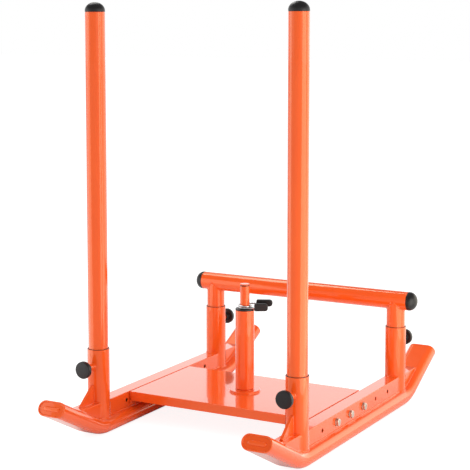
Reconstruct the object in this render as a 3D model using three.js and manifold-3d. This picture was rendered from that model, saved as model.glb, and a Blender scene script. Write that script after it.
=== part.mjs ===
// Drag sled for pushing: two skis, two uprights, a low push bar and a loading post.
// Millimetres. X runs across the sled, Y from the near end to the far end, Z up from the floor.
import * as THREE from 'three';
import { mergeVertices } from 'three/addons/utils/BufferGeometryUtils.js';
import Module from 'manifold-3d';

const wasm = await Module();
wasm.setup();

// Whole sled
const TRACK = 570; // between the left and right upright axes
const WHEELBASE = 610; // between the near and far socket axes
const SEAT_GAP = 0.3; // between two pieces that touch
const CUT_OVERRUN = 5; // how far a cutting shape runs past the piece it cuts
const ROUND_SIDES = 24;
const SMALL_SIDES = 12;
const ARC_SEGMENTS = 4;

// Skis, bent from flat oval tube
const SKI_WIDTH = 80;
const SKI_HEIGHT = 40;
const SKI_WALL = 2.5;
const SKI_BEND_RADIUS = 135;
const SKI_BEND_ANGLE = 27; // degrees
const SKI_BEND_STEPS = 6;
const SKI_BEND_BEFORE_SOCKET = 3; // the bend starts this far inside a socket's axis
const SKI_TIP_LENGTH = 159;
const SKI_END_THICKNESS = 6;
const SKI_END_EDGE = 2;
const SKI_END_RIM = 7;
const SKI_END_RECESS = 1.6;
const SKI_END_BAR_WIDTH = 48;
const SKI_END_BAR_HEIGHT = 12;
const SKI_END_BAR_RISE = 1.2;

// Rails, box tube welded along the top of each ski
const RAIL_WIDTH = 40;
const RAIL_HEIGHT = 42;
const RAIL_WALL = 2.5;
const RAIL_NOSE = 1; // height left where a rail end runs out on the rising ski
const RAIL_HOLE_COUNT = 6;
const RAIL_HOLE_PITCH = 82;

// Sockets and the tubes that slide into them
const TUBE_DIAMETER = 50.8;
const TUBE_WALL = 2.5;
const SOCKET_CLEARANCE = 0.6;
const SOCKET_WALL = 2.5;
const SOCKET_TOP_HEIGHT = 219; // above the floor
const POLE_TOP_HEIGHT = 1078; // above the floor, without the cap
const CAP_DOME_HEIGHT = 24;
const CAP_PLUG_DEPTH = 16;
const CAP_RIM = 3;
const BAR_HEIGHT = 292; // axis of the push bar above the floor
const BAR_OVERHANG = 37; // past each leg's axis

// Gusset plates at the near sockets
const GUSSET_THICKNESS = 8;
const GUSSET_REACH = 55;
const GUSSET_HEIGHT = 46;
const GUSSET_NOSE = 3;

// Pull pins
const PIN_HEIGHT = 176; // above the floor
const PIN_TRAVEL = 8;
const PIN_NOSE_DIAMETER = 8;
const PIN_COLLAR_DIAMETER = 11;
const PIN_COLLAR_LENGTH = 3;
const PIN_ROD_DIAMETER = 6;
const PIN_CLEARANCE = 0.4;
const PIN_HOUSING_DIAMETER = 17;
const PIN_HOUSING_LENGTH = 32;
const PIN_HOUSING_END = 3;
const PIN_HOUSING_BORE = 12;
const PIN_SPRING_WIRE = 1.2;
const PIN_SPRING_TURNS = 5;
const KNOB_DIAMETER = 44;
const KNOB_LENGTH = 12;
const KNOB_EDGE = 2.5;
const KNOB_SOCKET_DEPTH = 7;
const KNOB_SKIRT_LENGTH = 14; // over the end of the housing
const KNOB_SKIRT_WALL = 2.4;
const KNOB_SKIRT_CLEARANCE = 0.6;

// Base plate, a folded tray hung between the rails
const PLATE_THICKNESS = 3;
const PLATE_LENGTH = 306;
const PLATE_SIDE_CLEARANCE = 0.6;
const PLATE_END_FLANGE = 24;
const PLATE_SIDE_FLANGE = 34;

// Plate bolts and nuts
const BOLT_DIAMETER = 10;
const BOLT_HOLE_CLEARANCE = 0.5;
const BOLT_HEAD_ACROSS = 17;
const BOLT_HEAD_HEIGHT = 6.4;
const BOLT_WASHER_DIAMETER = 21;
const BOLT_WASHER_THICKNESS = 1.8;
const BOLT_THREAD_SHOWN = 3;
const NUT_HEIGHT = 8;
const BOLT_COUNT = 3;
const FIRST_BOLT_HOLE = 1; // index along the rail's row of holes

// Weight post, sleeve and spring collar
const POST_DIAMETER = 25;
const POST_TOP_HEIGHT = 369;
const POST_CHAMFER = 1.5;
const FLANGE_DIAMETER = 82;
const FLANGE_THICKNESS = 5;
const FLANGE_EDGE = 1.25;
const FLANGE_SHOULDER = 1; // raised seat of the sleeve, so that nothing overhangs the face that the weights lie on
const FLANGE_SPIGOT = 6;
const SLEEVE_DIAMETER = 50;
const SLEEVE_WALL = 3;
const SLEEVE_TOP_HEIGHT = 299.5;
const SLEEVE_FIT = 0.3;
const RING_HEIGHT = 4;
const RING_PLUG_DEPTH = 12;
const COLLAR_WIRE = 4.2;
const COLLAR_PITCH = 4.8;
const COLLAR_FIT = 1.5; // round the post, when the collar is let go
const COLLAR_FULL_TURNS = 2; // less the half turn that the two levers leave open
const COLLAR_LOWER_ANGLE = 32; // degrees from +X, at rest
const COLLAR_UPPER_ANGLE = 26;
const UPPER_LEVER_EXTRA = 9; // the upper lever is the longer one
const GRIP_CLEARANCE = 0.6; // past the edge of the sleeve
const GRIP_LENGTH = 36;
const GRIP_HEIGHT = 18;
const GRIP_RISE = 1.5; // middle of the grip above the wire
const GRIP_INNER_CORNER = 4;
const GRIP_OUTER_CORNER = 8;
const GRIP_WIDTH = 12;
const GRIP_END = 3; // grip past the end of the wire
const GRIP_EDGE = 2.5;

// Curls of wire
const CURL_STEPS = 8;
const WIRE_SIDES = 5;

// Places that follow from the sizes above
const RAIL_TOP = SKI_HEIGHT + RAIL_HEIGHT;
const SOCKET_RADIUS = TUBE_DIAMETER / 2 + SOCKET_CLEARANCE + SOCKET_WALL;
const SOCKET_BORE_RADIUS = TUBE_DIAMETER / 2 + SOCKET_CLEARANCE;
const TUBE_BOTTOM = RAIL_TOP + SEAT_GAP;
const FLAT_HALF = WHEELBASE / 2 - SKI_BEND_BEFORE_SOCKET;
const BEND = THREE.MathUtils.degToRad(SKI_BEND_ANGLE);
const FIRST_HOLE_Y = (-(RAIL_HOLE_COUNT - 1) * RAIL_HOLE_PITCH) / 2;
const BOLT_HEIGHT = SKI_HEIGHT + RAIL_HEIGHT / 2;
const BOLT_ROW = [...Array(BOLT_COUNT).keys()].map((i) => FIRST_HOLE_Y + (FIRST_BOLT_HOLE + i) * RAIL_HOLE_PITCH);
const PLATE_Y = (BOLT_ROW[0] + BOLT_ROW[BOLT_COUNT - 1]) / 2;
const PLATE_WIDTH = TRACK - RAIL_WIDTH - 2 * PLATE_SIDE_CLEARANCE;
const FLANGE_TOP = RAIL_TOP + SEAT_GAP + FLANGE_THICKNESS;
const SLEEVE_SEAT = FLANGE_TOP + FLANGE_SHOULDER;
const COLLAR_BASE = SLEEVE_TOP_HEIGHT + SEAT_GAP + RING_HEIGHT + SEAT_GAP;
const COLLAR_RADIUS = POST_DIAMETER / 2 + COLLAR_FIT + COLLAR_WIRE / 2;
const GRIP_START = Math.sqrt((SLEEVE_DIAMETER / 2 + GRIP_CLEARANCE) ** 2 - (COLLAR_RADIUS - GRIP_WIDTH / 2) ** 2);
const COLLAR_LEG = GRIP_START + GRIP_LENGTH - GRIP_END - SEAT_GAP; // wire past the coil

// Finishes
const finish = (color, roughness, metalness) => new THREE.MeshStandardMaterial({ color, roughness, metalness });
const ORANGE = finish(0xf26a35, 0.2, 0.1);
const BLACK = finish(0x26262a, 0.45, 0);
const ZINC = finish(0xb9bcc2, 0.3, 0.9);
const CHROME = finish(0xd8dade, 0.12, 1);
const SPRING_STEEL = finish(0x8d9096, 0.35, 0.9);

// Solids

function solid(geometry) {
  const bare = geometry.index ? geometry.toNonIndexed() : geometry.clone();
  bare.deleteAttribute('normal');
  bare.deleteAttribute('uv');
  const merged = mergeVertices(bare);
  const mesh = new wasm.Mesh({
    numProp: 3,
    vertProperties: new Float32Array(merged.attributes.position.array),
    triVerts: new Uint32Array(merged.index.array),
  });
  return new wasm.Manifold(mesh);
}

function asGeometry(piece) {
  const mesh = piece.getMesh();
  const geometry = new THREE.BufferGeometry();
  geometry.setAttribute('position', new THREE.BufferAttribute(new Float32Array(mesh.vertProperties), mesh.numProp));
  geometry.setIndex(new THREE.BufferAttribute(new Uint32Array(mesh.triVerts), 1));
  return geometry;
}

function cut(piece, ...tools) {
  return tools.reduce((left, tool) => left.subtract(tool), piece);
}

// Profile of [radius, height] pairs turned about Z.
function turned(profile, sides = ROUND_SIDES) {
  const points = profile.map(([radius, height]) => new THREE.Vector2(radius, height));
  return solid(new THREE.LatheGeometry(points, sides).rotateX(Math.PI / 2));
}

function ring(outer, inner, low, high, sides = ROUND_SIDES) {
  return turned([[inner, low], [outer, low], [outer, high], [inner, high], [inner, low]], sides);
}

function rod(radius, low, high, sides = ROUND_SIDES) {
  return turned([[0, low], [radius, low], [radius, high], [0, high]], sides);
}

function box(lowX, highX, lowY, highY, lowZ, highZ) {
  const geometry = new THREE.BoxGeometry(highX - lowX, highY - lowY, highZ - lowZ);
  return solid(geometry.translate((lowX + highX) / 2, (lowY + highY) / 2, (lowZ + highZ) / 2));
}

// A shape drawn in Y and Z, given its thickness along X, centred on x = 0.
function plateAcross(shape, thickness) {
  const geometry = new THREE.ExtrudeGeometry(shape, { depth: thickness, bevelEnabled: false, curveSegments: ARC_SEGMENTS });
  geometry.translate(0, 0, -thickness / 2);
  const turn = new THREE.Matrix4().makeBasis(
    new THREE.Vector3(0, 1, 0),
    new THREE.Vector3(0, 0, 1),
    new THREE.Vector3(1, 0, 0),
  );
  return solid(geometry.applyMatrix4(turn));
}

// A piece that was turned about Z, laid along +X or -Y.
const alongX = (piece) => piece.rotate([0, 90, 0]);
const alongMinusY = (piece) => piece.rotate([90, 0, 0]);

// A path through stations, each with its point and its direction.
class StationPath extends THREE.Curve {
  constructor(stations) {
    super();
    this.stations = stations;
  }

  at(t, key) {
    const place = t * (this.stations.length - 1);
    const low = Math.min(Math.floor(place), this.stations.length - 2);
    return this.stations[low][key].clone().lerp(this.stations[low + 1][key], place - low);
  }

  getPoint(t) {
    return this.at(t, 'point');
  }

  getPointAt(t) {
    return this.at(t, 'point');
  }

  getTangentAt(t) {
    return this.at(t, 'direction').normalize();
  }
}

function swept(shape, stations) {
  return solid(new THREE.ExtrudeGeometry(shape, {
    steps: stations.length - 1,
    extrudePath: new StationPath(stations),
    curveSegments: ARC_SEGMENTS,
  }));
}

function obround(width, height, Kind = THREE.Shape) {
  const outline = new Kind();
  const reach = (width - height) / 2;
  outline.absarc(reach, 0, height / 2, -Math.PI / 2, Math.PI / 2, false);
  outline.absarc(-reach, 0, height / 2, Math.PI / 2, (3 * Math.PI) / 2, false);
  return outline;
}

// Groups and meshes

function mesh(name, piece, material) {
  const made = new THREE.Mesh(asGeometry(piece), material);
  made.name = name;
  return made;
}

function group(place, ...children) {
  const made = new THREE.Group();
  made.position.set(...place);
  made.add(...children);
  return made;
}

function turnedRound(made, angle) {
  made.rotation.z = angle;
  return made;
}

// Skis

// Stations along the middle of a ski from the near end to the far end.
function skiStations(pastEnd = 0) {
  const half = [];
  const middle = SKI_HEIGHT / 2;
  for (let i = 0; i <= SKI_BEND_STEPS; i += 1) {
    const angle = (BEND * i) / SKI_BEND_STEPS;
    half.push({
      point: new THREE.Vector3(
        0,
        FLAT_HALF + SKI_BEND_RADIUS * Math.sin(angle),
        middle + SKI_BEND_RADIUS * (1 - Math.cos(angle)),
      ),
      direction: new THREE.Vector3(0, Math.cos(angle), Math.sin(angle)),
    });
  }
  const bendEnd = half[half.length - 1];
  const tip = bendEnd.point.clone().addScaledVector(bendEnd.direction, SKI_TIP_LENGTH + pastEnd);
  half.push({ point: tip, direction: bendEnd.direction });
  const mirrored = half.map(({ point, direction }) => ({
    point: new THREE.Vector3(0, -point.y, point.z),
    direction: new THREE.Vector3(0, direction.y, -direction.z),
  }));
  return [...mirrored.reverse(), ...half];
}

function skiTube() {
  const section = obround(SKI_WIDTH, SKI_HEIGHT);
  section.holes.push(obround(SKI_WIDTH - 2 * SKI_WALL, SKI_HEIGHT - 2 * SKI_WALL, THREE.Path));
  return swept(section, skiStations());
}

// The ski's outside with the seat gap round it, to cut what is welded on top of it.
function skiEnvelope() {
  return swept(obround(SKI_WIDTH + 2 * SEAT_GAP, SKI_HEIGHT + 2 * SEAT_GAP), skiStations(CUT_OVERRUN));
}

// End cap with a rounded rim, a shallow field and a plain raised bar, facing +Z.
function skiEndCap() {
  const extrude = (width, height, depth, edge) => new THREE.ExtrudeGeometry(obround(width - 2 * edge, height - 2 * edge), {
    depth: depth - 2 * edge,
    bevelEnabled: edge > 0,
    bevelThickness: edge,
    bevelSize: edge,
    bevelSegments: 2,
    curveSegments: ARC_SEGMENTS,
  }).translate(0, 0, edge);
  const field = SKI_END_THICKNESS - SKI_END_RECESS;
  const plate = solid(extrude(SKI_WIDTH, SKI_HEIGHT, SKI_END_THICKNESS, SKI_END_EDGE));
  const recess = solid(extrude(SKI_WIDTH - 2 * SKI_END_RIM, SKI_HEIGHT - 2 * SKI_END_RIM, CUT_OVERRUN, 0));
  const bar = solid(extrude(SKI_END_BAR_WIDTH, SKI_END_BAR_HEIGHT, SKI_END_THICKNESS / 2 + SKI_END_BAR_RISE, 0));
  return cut(plate, recess.translate([0, 0, field])).add(bar.translate([0, 0, field - SKI_END_THICKNESS / 2]));
}

const envelope = skiEnvelope();
const endCap = skiEndCap();
const tipStation = skiStations()[0];

function skiEnd(name) {
  const cap = mesh(name, endCap, ORANGE);
  cap.position.copy(tipStation.point).addScaledVector(tipStation.direction, -SEAT_GAP);
  cap.rotation.x = Math.PI / 2 - BEND;
  return cap;
}

// Rails

function railHoles() {
  return [...Array(RAIL_HOLE_COUNT).keys()].map((i) => {
    const reach = RAIL_WIDTH / 2 + CUT_OVERRUN;
    const drill = alongX(rod(BOLT_DIAMETER / 2 + BOLT_HOLE_CLEARANCE, -reach, reach, SMALL_SIDES));
    return drill.translate([0, FIRST_HOLE_Y + i * RAIL_HOLE_PITCH, BOLT_HEIGHT]);
  });
}

function railTube() {
  const innerRadius = SKI_BEND_RADIUS - SKI_HEIGHT / 2 - SEAT_GAP;
  const bendY = FLAT_HALF + innerRadius * Math.sin(BEND);
  const bendZ = SKI_HEIGHT / 2 + SKI_BEND_RADIUS - innerRadius * Math.cos(BEND);
  const half = bendY + (RAIL_TOP - RAIL_NOSE - bendZ) / Math.tan(BEND);
  const side = RAIL_WIDTH / 2;
  const bottom = SKI_HEIGHT - SKI_WALL;
  const outside = box(-side, side, -half, half, bottom, RAIL_TOP);
  const inside = box(
    -side + RAIL_WALL, side - RAIL_WALL, -FLAT_HALF, FLAT_HALF,
    SKI_HEIGHT + SEAT_GAP + RAIL_WALL, RAIL_TOP - RAIL_WALL,
  );
  return cut(outside, envelope, inside, ...railHoles());
}

// Sockets, with two ears that straddle the rail down to the ski

function socketTube() {
  const reach = SOCKET_RADIUS + CUT_OVERRUN;
  const slot = RAIL_WIDTH / 2 + SEAT_GAP;
  const tube = ring(SOCKET_RADIUS, SOCKET_BORE_RADIUS, SKI_HEIGHT / 2, SOCKET_TOP_HEIGHT);
  const straddle = box(-slot, slot, -reach, reach, 0, TUBE_BOTTOM);
  const pinHole = alongMinusY(rod(PIN_NOSE_DIAMETER / 2 + PIN_CLEARANCE, 0, reach, SMALL_SIDES));
  const ski = envelope.translate([0, WHEELBASE / 2, 0]);
  return cut(tube, straddle, ski, pinHole.translate([0, 0, PIN_HEIGHT]));
}

function gussetPlate() {
  const back = -SOCKET_RADIUS - SEAT_GAP;
  const front = -SOCKET_RADIUS - GUSSET_REACH;
  const outline = new THREE.Shape([
    new THREE.Vector2(back, TUBE_BOTTOM),
    new THREE.Vector2(back, RAIL_TOP + GUSSET_HEIGHT),
    new THREE.Vector2(back - GUSSET_NOSE / 2, RAIL_TOP + GUSSET_HEIGHT),
    new THREE.Vector2(front, TUBE_BOTTOM + GUSSET_NOSE),
    new THREE.Vector2(front, TUBE_BOTTOM),
  ]);
  return plateAcross(outline, GUSSET_THICKNESS);
}

// Pull pin, built along +Z from the middle of the socket and laid along -Y

const HOUSING_START = SOCKET_RADIUS + SEAT_GAP;
const HOUSING_END = HOUSING_START + PIN_HOUSING_LENGTH;
const PIN_NOSE_START = TUBE_DIAMETER / 2 + SEAT_GAP;
const COLLAR_START = HOUSING_START + SEAT_GAP;
const COLLAR_END = COLLAR_START + PIN_COLLAR_LENGTH;
const KNOB_START = HOUSING_END + SEAT_GAP;
const PIN_END = KNOB_START + KNOB_SOCKET_DEPTH - SEAT_GAP;

function pinHousing() {
  const outer = PIN_HOUSING_DIAMETER / 2;
  const bore = PIN_HOUSING_BORE / 2;
  const endBore = PIN_ROD_DIAMETER / 2 + PIN_CLEARANCE;
  const shoulder = HOUSING_END - PIN_HOUSING_END;
  return turned([
    [bore, HOUSING_START], [outer, HOUSING_START], [outer, HOUSING_END],
    [endBore, HOUSING_END], [endBore, shoulder], [bore, shoulder], [bore, HOUSING_START],
  ], SMALL_SIDES);
}

function pinPlunger() {
  const nose = PIN_NOSE_DIAMETER / 2;
  const collar = PIN_COLLAR_DIAMETER / 2;
  const stem = PIN_ROD_DIAMETER / 2;
  return turned([
    [0, PIN_NOSE_START], [nose, PIN_NOSE_START], [nose, COLLAR_START], [collar, COLLAR_START],
    [collar, COLLAR_END], [stem, COLLAR_END], [stem, PIN_END], [0, PIN_END],
  ], SMALL_SIDES);
}

function pinKnob() {
  const radius = KNOB_DIAMETER / 2;
  const end = KNOB_START + KNOB_LENGTH;
  const bore = PIN_ROD_DIAMETER / 2 + PIN_CLEARANCE;
  const corner = KNOB_EDGE * (1 - Math.SQRT1_2);
  const skirt = PIN_HOUSING_DIAMETER / 2 + KNOB_SKIRT_CLEARANCE;
  const skirtStart = KNOB_START - KNOB_SKIRT_LENGTH;
  return turned([
    [bore, KNOB_START], [skirt, KNOB_START], [skirt, skirtStart],
    [skirt + KNOB_SKIRT_WALL, skirtStart], [skirt + KNOB_SKIRT_WALL, KNOB_START],
    [radius - KNOB_EDGE, KNOB_START], [radius - corner, KNOB_START + corner],
    [radius, KNOB_START + KNOB_EDGE], [radius, end - KNOB_EDGE], [radius - corner, end - corner],
    [radius - KNOB_EDGE, end], [0, end], [0, KNOB_START + KNOB_SOCKET_DEPTH],
    [bore, KNOB_START + KNOB_SOCKET_DEPTH], [bore, KNOB_START],
  ]);
}

// Wire, as one tube through its stations

function helixStations(radius, low, rise, from, to) {
  const steps = Math.round((Math.abs(to - from) / (2 * Math.PI)) * CURL_STEPS);
  return [...Array(steps + 1).keys()].map((i) => {
    const angle = from + ((to - from) * i) / steps;
    return {
      point: new THREE.Vector3(radius * Math.cos(angle), radius * Math.sin(angle), low + (rise * i) / steps),
      direction: new THREE.Vector3(
        -radius * Math.sin(angle) * (to - from),
        radius * Math.cos(angle) * (to - from),
        rise,
      ).normalize(),
    };
  });
}

function wire(diameter, stations) {
  const corners = [...Array(WIRE_SIDES).keys()].map((i) => {
    const angle = (2 * Math.PI * i) / WIRE_SIDES;
    return new THREE.Vector2((diameter / 2) * Math.cos(angle), (diameter / 2) * Math.sin(angle));
  });
  return swept(new THREE.Shape(corners), stations);
}

// Least gap between turns of one wire, measured between stations half a turn or more apart.
function leastGap(diameter, stations) {
  let least = Infinity;
  stations.forEach((a, i) => {
    stations.slice(i + CURL_STEPS / 2).forEach((b) => {
      least = Math.min(least, a.point.distanceTo(b.point) - diameter);
    });
  });
  return least;
}

const PIN_SPRING_START = COLLAR_END + SEAT_GAP + PIN_SPRING_WIRE / 2;
const PIN_SPRING_END = HOUSING_END - PIN_HOUSING_END - SEAT_GAP - PIN_SPRING_WIRE / 2;
const pinSpringPath = helixStations(
  (PIN_HOUSING_BORE / 2 + PIN_ROD_DIAMETER / 2) / 2,
  PIN_SPRING_START,
  PIN_SPRING_END - PIN_SPRING_START,
  0,
  2 * Math.PI * PIN_SPRING_TURNS,
);
console.log(`pin spring: least gap ${leastGap(PIN_SPRING_WIRE, pinSpringPath).toFixed(2)} mm`);

const parts = {
  socket: socketTube(),
  gusset: gussetPlate(),
  housing: alongMinusY(pinHousing()),
  plunger: alongMinusY(pinPlunger()),
  spring: alongMinusY(wire(PIN_SPRING_WIRE, pinSpringPath)),
  knob: alongMinusY(pinKnob()),
};

function pullPin(place) {
  return group(
    [0, 0, PIN_HEIGHT],
    mesh(`pin_housing_${place}`, parts.housing, ORANGE),
    mesh(`pin_plunger_${place}`, parts.plunger, ZINC),
    mesh(`pin_spring_${place}`, parts.spring, SPRING_STEEL),
    mesh(`pin_knob_${place}`, parts.knob, BLACK),
  );
}

// Uprights, push bar and their domed caps

function capDome() {
  const radius = TUBE_DIAMETER / 2;
  const plug = radius - TUBE_WALL - SEAT_GAP;
  const steps = ARC_SEGMENTS + 1;
  const dome = [...Array(steps + 1).keys()].map((i) => {
    const angle = (Math.PI * i) / (2 * steps);
    return [radius * Math.cos(angle), CAP_RIM + (CAP_DOME_HEIGHT - CAP_RIM) * Math.sin(angle)];
  });
  dome[steps][0] = 0;
  return turned([[0, -CAP_PLUG_DEPTH], [plug, -CAP_PLUG_DEPTH], [plug, 0], [radius, 0], ...dome]);
}

const tubeCap = capDome();

function slidingTube(top) {
  const radius = TUBE_DIAMETER / 2;
  const tube = ring(radius, radius - TUBE_WALL, TUBE_BOTTOM, top);
  const hole = alongMinusY(rod(PIN_NOSE_DIAMETER / 2 + PIN_CLEARANCE, 0, radius + CUT_OVERRUN, SMALL_SIDES));
  return cut(tube, hole.translate([0, 0, PIN_HEIGHT]));
}

function pole(side) {
  const cap = mesh(`pole_cap_${side}`, tubeCap, BLACK);
  cap.position.z = POLE_TOP_HEIGHT + SEAT_GAP;
  return group([0, 0, 0], mesh(`pole_${side}`, slidingTube(POLE_TOP_HEIGHT), ORANGE), cap);
}

function crossbarLeg() {
  const reach = TUBE_DIAMETER;
  const barEnvelope = alongX(rod(TUBE_DIAMETER / 2 + SEAT_GAP, -reach, reach)).translate([0, 0, BAR_HEIGHT]);
  return cut(slidingTube(BAR_HEIGHT), barEnvelope);
}

function crossbar() {
  const half = TRACK / 2 + BAR_OVERHANG;
  const bar = alongX(ring(TUBE_DIAMETER / 2, TUBE_DIAMETER / 2 - TUBE_WALL, -half, half));
  const caps = [['left', -1], ['right', 1]].map(([side, sign]) => {
    const cap = mesh(`crossbar_cap_${side}`, tubeCap, BLACK);
    cap.position.set(sign * (half + SEAT_GAP), 0, BAR_HEIGHT);
    cap.rotation.y = (sign * Math.PI) / 2;
    return cap;
  });
  return group([0, WHEELBASE / 2, 0], mesh('crossbar', bar.translate([0, 0, BAR_HEIGHT]), ORANGE), ...caps);
}

// One side of the sled, about its socket axes

function boltPiece() {
  const shank = BOLT_DIAMETER / 2;
  const washer = BOLT_WASHER_DIAMETER / 2;
  const seat = RAIL_WIDTH / 2 + SEAT_GAP;
  const headStart = seat + BOLT_WASHER_THICKNESS;
  const end = -RAIL_WIDTH / 2 - PLATE_SIDE_CLEARANCE - PLATE_THICKNESS - SEAT_GAP - NUT_HEIGHT - BOLT_THREAD_SHOWN;
  const body = turned([[0, end], [shank, end], [shank, seat], [washer, seat], [washer, headStart], [0, headStart]], SMALL_SIDES);
  const head = rod(BOLT_HEAD_ACROSS / Math.sqrt(3), seat, headStart + BOLT_HEAD_HEIGHT, 6);
  return alongX(body.add(head));
}

function nutPiece() {
  const face = -RAIL_WIDTH / 2 - PLATE_SIDE_CLEARANCE - PLATE_THICKNESS - SEAT_GAP;
  const nut = rod(BOLT_HEAD_ACROSS / Math.sqrt(3), face - NUT_HEIGHT, face, 6);
  const bore = rod(BOLT_DIAMETER / 2 + SEAT_GAP, face - NUT_HEIGHT - CUT_OVERRUN, face + CUT_OVERRUN, SMALL_SIDES);
  return alongX(cut(nut, bore));
}

const bolt = boltPiece();
const nut = nutPiece();
const rail = railTube();
const ski = skiTube();
const leg = crossbarLeg();

function plateFasteners(side) {
  const pairs = BOLT_ROW.map((y, i) => {
    const pair = group(
      [0, y, BOLT_HEIGHT],
      mesh(`plate_bolt_${side}_${i + 1}`, bolt, ZINC),
      mesh(`plate_nut_${side}_${i + 1}`, nut, ZINC),
    );
    return side === 'left' ? turnedRound(pair, Math.PI) : pair;
  });
  return group([0, 0, 0], ...pairs);
}

function sledSide(side, sign) {
  const near = group(
    [0, -WHEELBASE / 2, 0],
    mesh(`near_socket_${side}`, parts.socket, ORANGE),
    mesh(`gusset_${side}`, parts.gusset, ORANGE),
    pullPin(`near_${side}`),
    pole(side),
  );
  const far = turnedRound(group(
    [0, WHEELBASE / 2, 0],
    mesh(`far_socket_${side}`, parts.socket, ORANGE),
    pullPin(`far_${side}`),
    mesh(`crossbar_leg_${side}`, leg, ORANGE),
  ), Math.PI);
  return group(
    [(sign * TRACK) / 2, 0, 0],
    mesh(`ski_${side}`, ski, ORANGE),
    skiEnd(`ski_end_near_${side}`),
    turnedRound(group([0, 0, 0], skiEnd(`ski_end_far_${side}`)), Math.PI),
    mesh(`rail_${side}`, rail, ORANGE),
    plateFasteners(side),
    near,
    far,
  );
}

// Base plate

function basePlate() {
  const halfX = PLATE_WIDTH / 2;
  const halfY = PLATE_LENGTH / 2;
  const low = RAIL_TOP - PLATE_SIDE_FLANGE;
  const inX = halfX - PLATE_THICKNESS;
  const inY = halfY - PLATE_THICKNESS;
  const under = RAIL_TOP - PLATE_THICKNESS;
  const sheet = box(-halfX, halfX, -halfY, halfY, low, RAIL_TOP);
  const hollow = box(-inX, inX, -inY, inY, low - CUT_OVERRUN, under);
  const shortEnds = box(-inX, inX, -halfY - CUT_OVERRUN, halfY + CUT_OVERRUN, low - CUT_OVERRUN, RAIL_TOP - PLATE_END_FLANGE);
  const drills = BOLT_ROW.map((y) => {
    const reach = halfX + CUT_OVERRUN;
    const drill = alongX(rod(BOLT_DIAMETER / 2 + BOLT_HOLE_CLEARANCE, -reach, reach, SMALL_SIDES));
    return drill.translate([0, y - PLATE_Y, BOLT_HEIGHT]);
  });
  return cut(sheet, hollow, shortEnds, ...drills);
}

// Weight post, its flange, the loading sleeve and the ring in the sleeve's mouth

function postFlange() {
  const bore = POST_DIAMETER / 2 + SLEEVE_FIT;
  const spigot = SLEEVE_DIAMETER / 2 - SLEEVE_WALL - SLEEVE_FIT;
  const shoulder = SLEEVE_DIAMETER / 2 + SLEEVE_FIT;
  const base = RAIL_TOP + SEAT_GAP;
  return turned([
    [bore, base], [FLANGE_DIAMETER / 2, base], [FLANGE_DIAMETER / 2, FLANGE_TOP - FLANGE_EDGE],
    [FLANGE_DIAMETER / 2 - FLANGE_EDGE, FLANGE_TOP], [shoulder, FLANGE_TOP], [shoulder, SLEEVE_SEAT], [spigot, SLEEVE_SEAT],
    [spigot, SLEEVE_SEAT + FLANGE_SPIGOT], [bore, SLEEVE_SEAT + FLANGE_SPIGOT], [bore, base],
  ]);
}

function weightPost() {
  const radius = POST_DIAMETER / 2;
  const low = RAIL_TOP + SEAT_GAP;
  return turned([
    [0, low], [radius, low], [radius, POST_TOP_HEIGHT - POST_CHAMFER],
    [radius - POST_CHAMFER, POST_TOP_HEIGHT], [0, POST_TOP_HEIGHT],
  ]);
}

function sleeveRing() {
  const bore = POST_DIAMETER / 2 + SLEEVE_FIT;
  const outer = SLEEVE_DIAMETER / 2;
  const plug = outer - SLEEVE_WALL - SLEEVE_FIT;
  const seat = SLEEVE_TOP_HEIGHT + SEAT_GAP;
  const low = seat - RING_PLUG_DEPTH;
  const high = seat + RING_HEIGHT;
  return turned([[bore, low], [plug, low], [plug, seat], [outer, seat], [outer, high], [bore, high], [bore, low]]);
}

// Spring collar: one wire, wound clockwise as it rises, with a tangent lever at each end

const lowerAngle = THREE.MathUtils.degToRad(COLLAR_LOWER_ANGLE);
const upperAngle = THREE.MathUtils.degToRad(COLLAR_UPPER_ANGLE);

function collarStations() {
  const from = lowerAngle - Math.PI / 2;
  const to = upperAngle + Math.PI / 2 - 2 * Math.PI * COLLAR_FULL_TURNS;
  const low = COLLAR_BASE + COLLAR_WIRE / 2;
  const coil = helixStations(COLLAR_RADIUS, low, (COLLAR_PITCH * (from - to)) / (2 * Math.PI), from, to);
  const first = coil[0];
  const last = coil[coil.length - 1];
  const lowerLeg = new THREE.Vector3(Math.cos(lowerAngle), Math.sin(lowerAngle), 0);
  const upperLeg = new THREE.Vector3(Math.cos(upperAngle), Math.sin(upperAngle), 0);
  return {
    coil,
    path: [
      { point: first.point.clone().addScaledVector(lowerLeg, COLLAR_LEG), direction: lowerLeg.clone().negate() },
      ...coil,
      { point: last.point.clone().addScaledVector(upperLeg, COLLAR_LEG + UPPER_LEVER_EXTRA), direction: upperLeg },
    ],
  };
}

const collar = collarStations();
console.log(`collar coil: least gap ${leastGap(COLLAR_WIRE, collar.coil).toFixed(2)} mm`);

// Side view of a grip, with its inner end at x = 0 and its middle at y = 0, drawn inside its rounded edge.
function gripOutline() {
  const low = GRIP_EDGE - GRIP_HEIGHT / 2;
  const high = -low;
  const inner = GRIP_EDGE;
  const outer = GRIP_LENGTH - GRIP_EDGE;
  const innerCorner = GRIP_INNER_CORNER - GRIP_EDGE;
  const outerCorner = Math.min(GRIP_OUTER_CORNER, GRIP_HEIGHT / 2) - GRIP_EDGE;
  const outline = new THREE.Shape();
  outline.absarc(inner + innerCorner, low + innerCorner, innerCorner, Math.PI, 1.5 * Math.PI, false);
  outline.absarc(outer - outerCorner, low + outerCorner, outerCorner, -0.5 * Math.PI, 0, false);
  outline.absarc(outer - outerCorner, high - outerCorner, outerCorner, 0, 0.5 * Math.PI, false);
  outline.absarc(inner + innerCorner, high - innerCorner, innerCorner, 0.5 * Math.PI, Math.PI, false);
  return outline;
}

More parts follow.
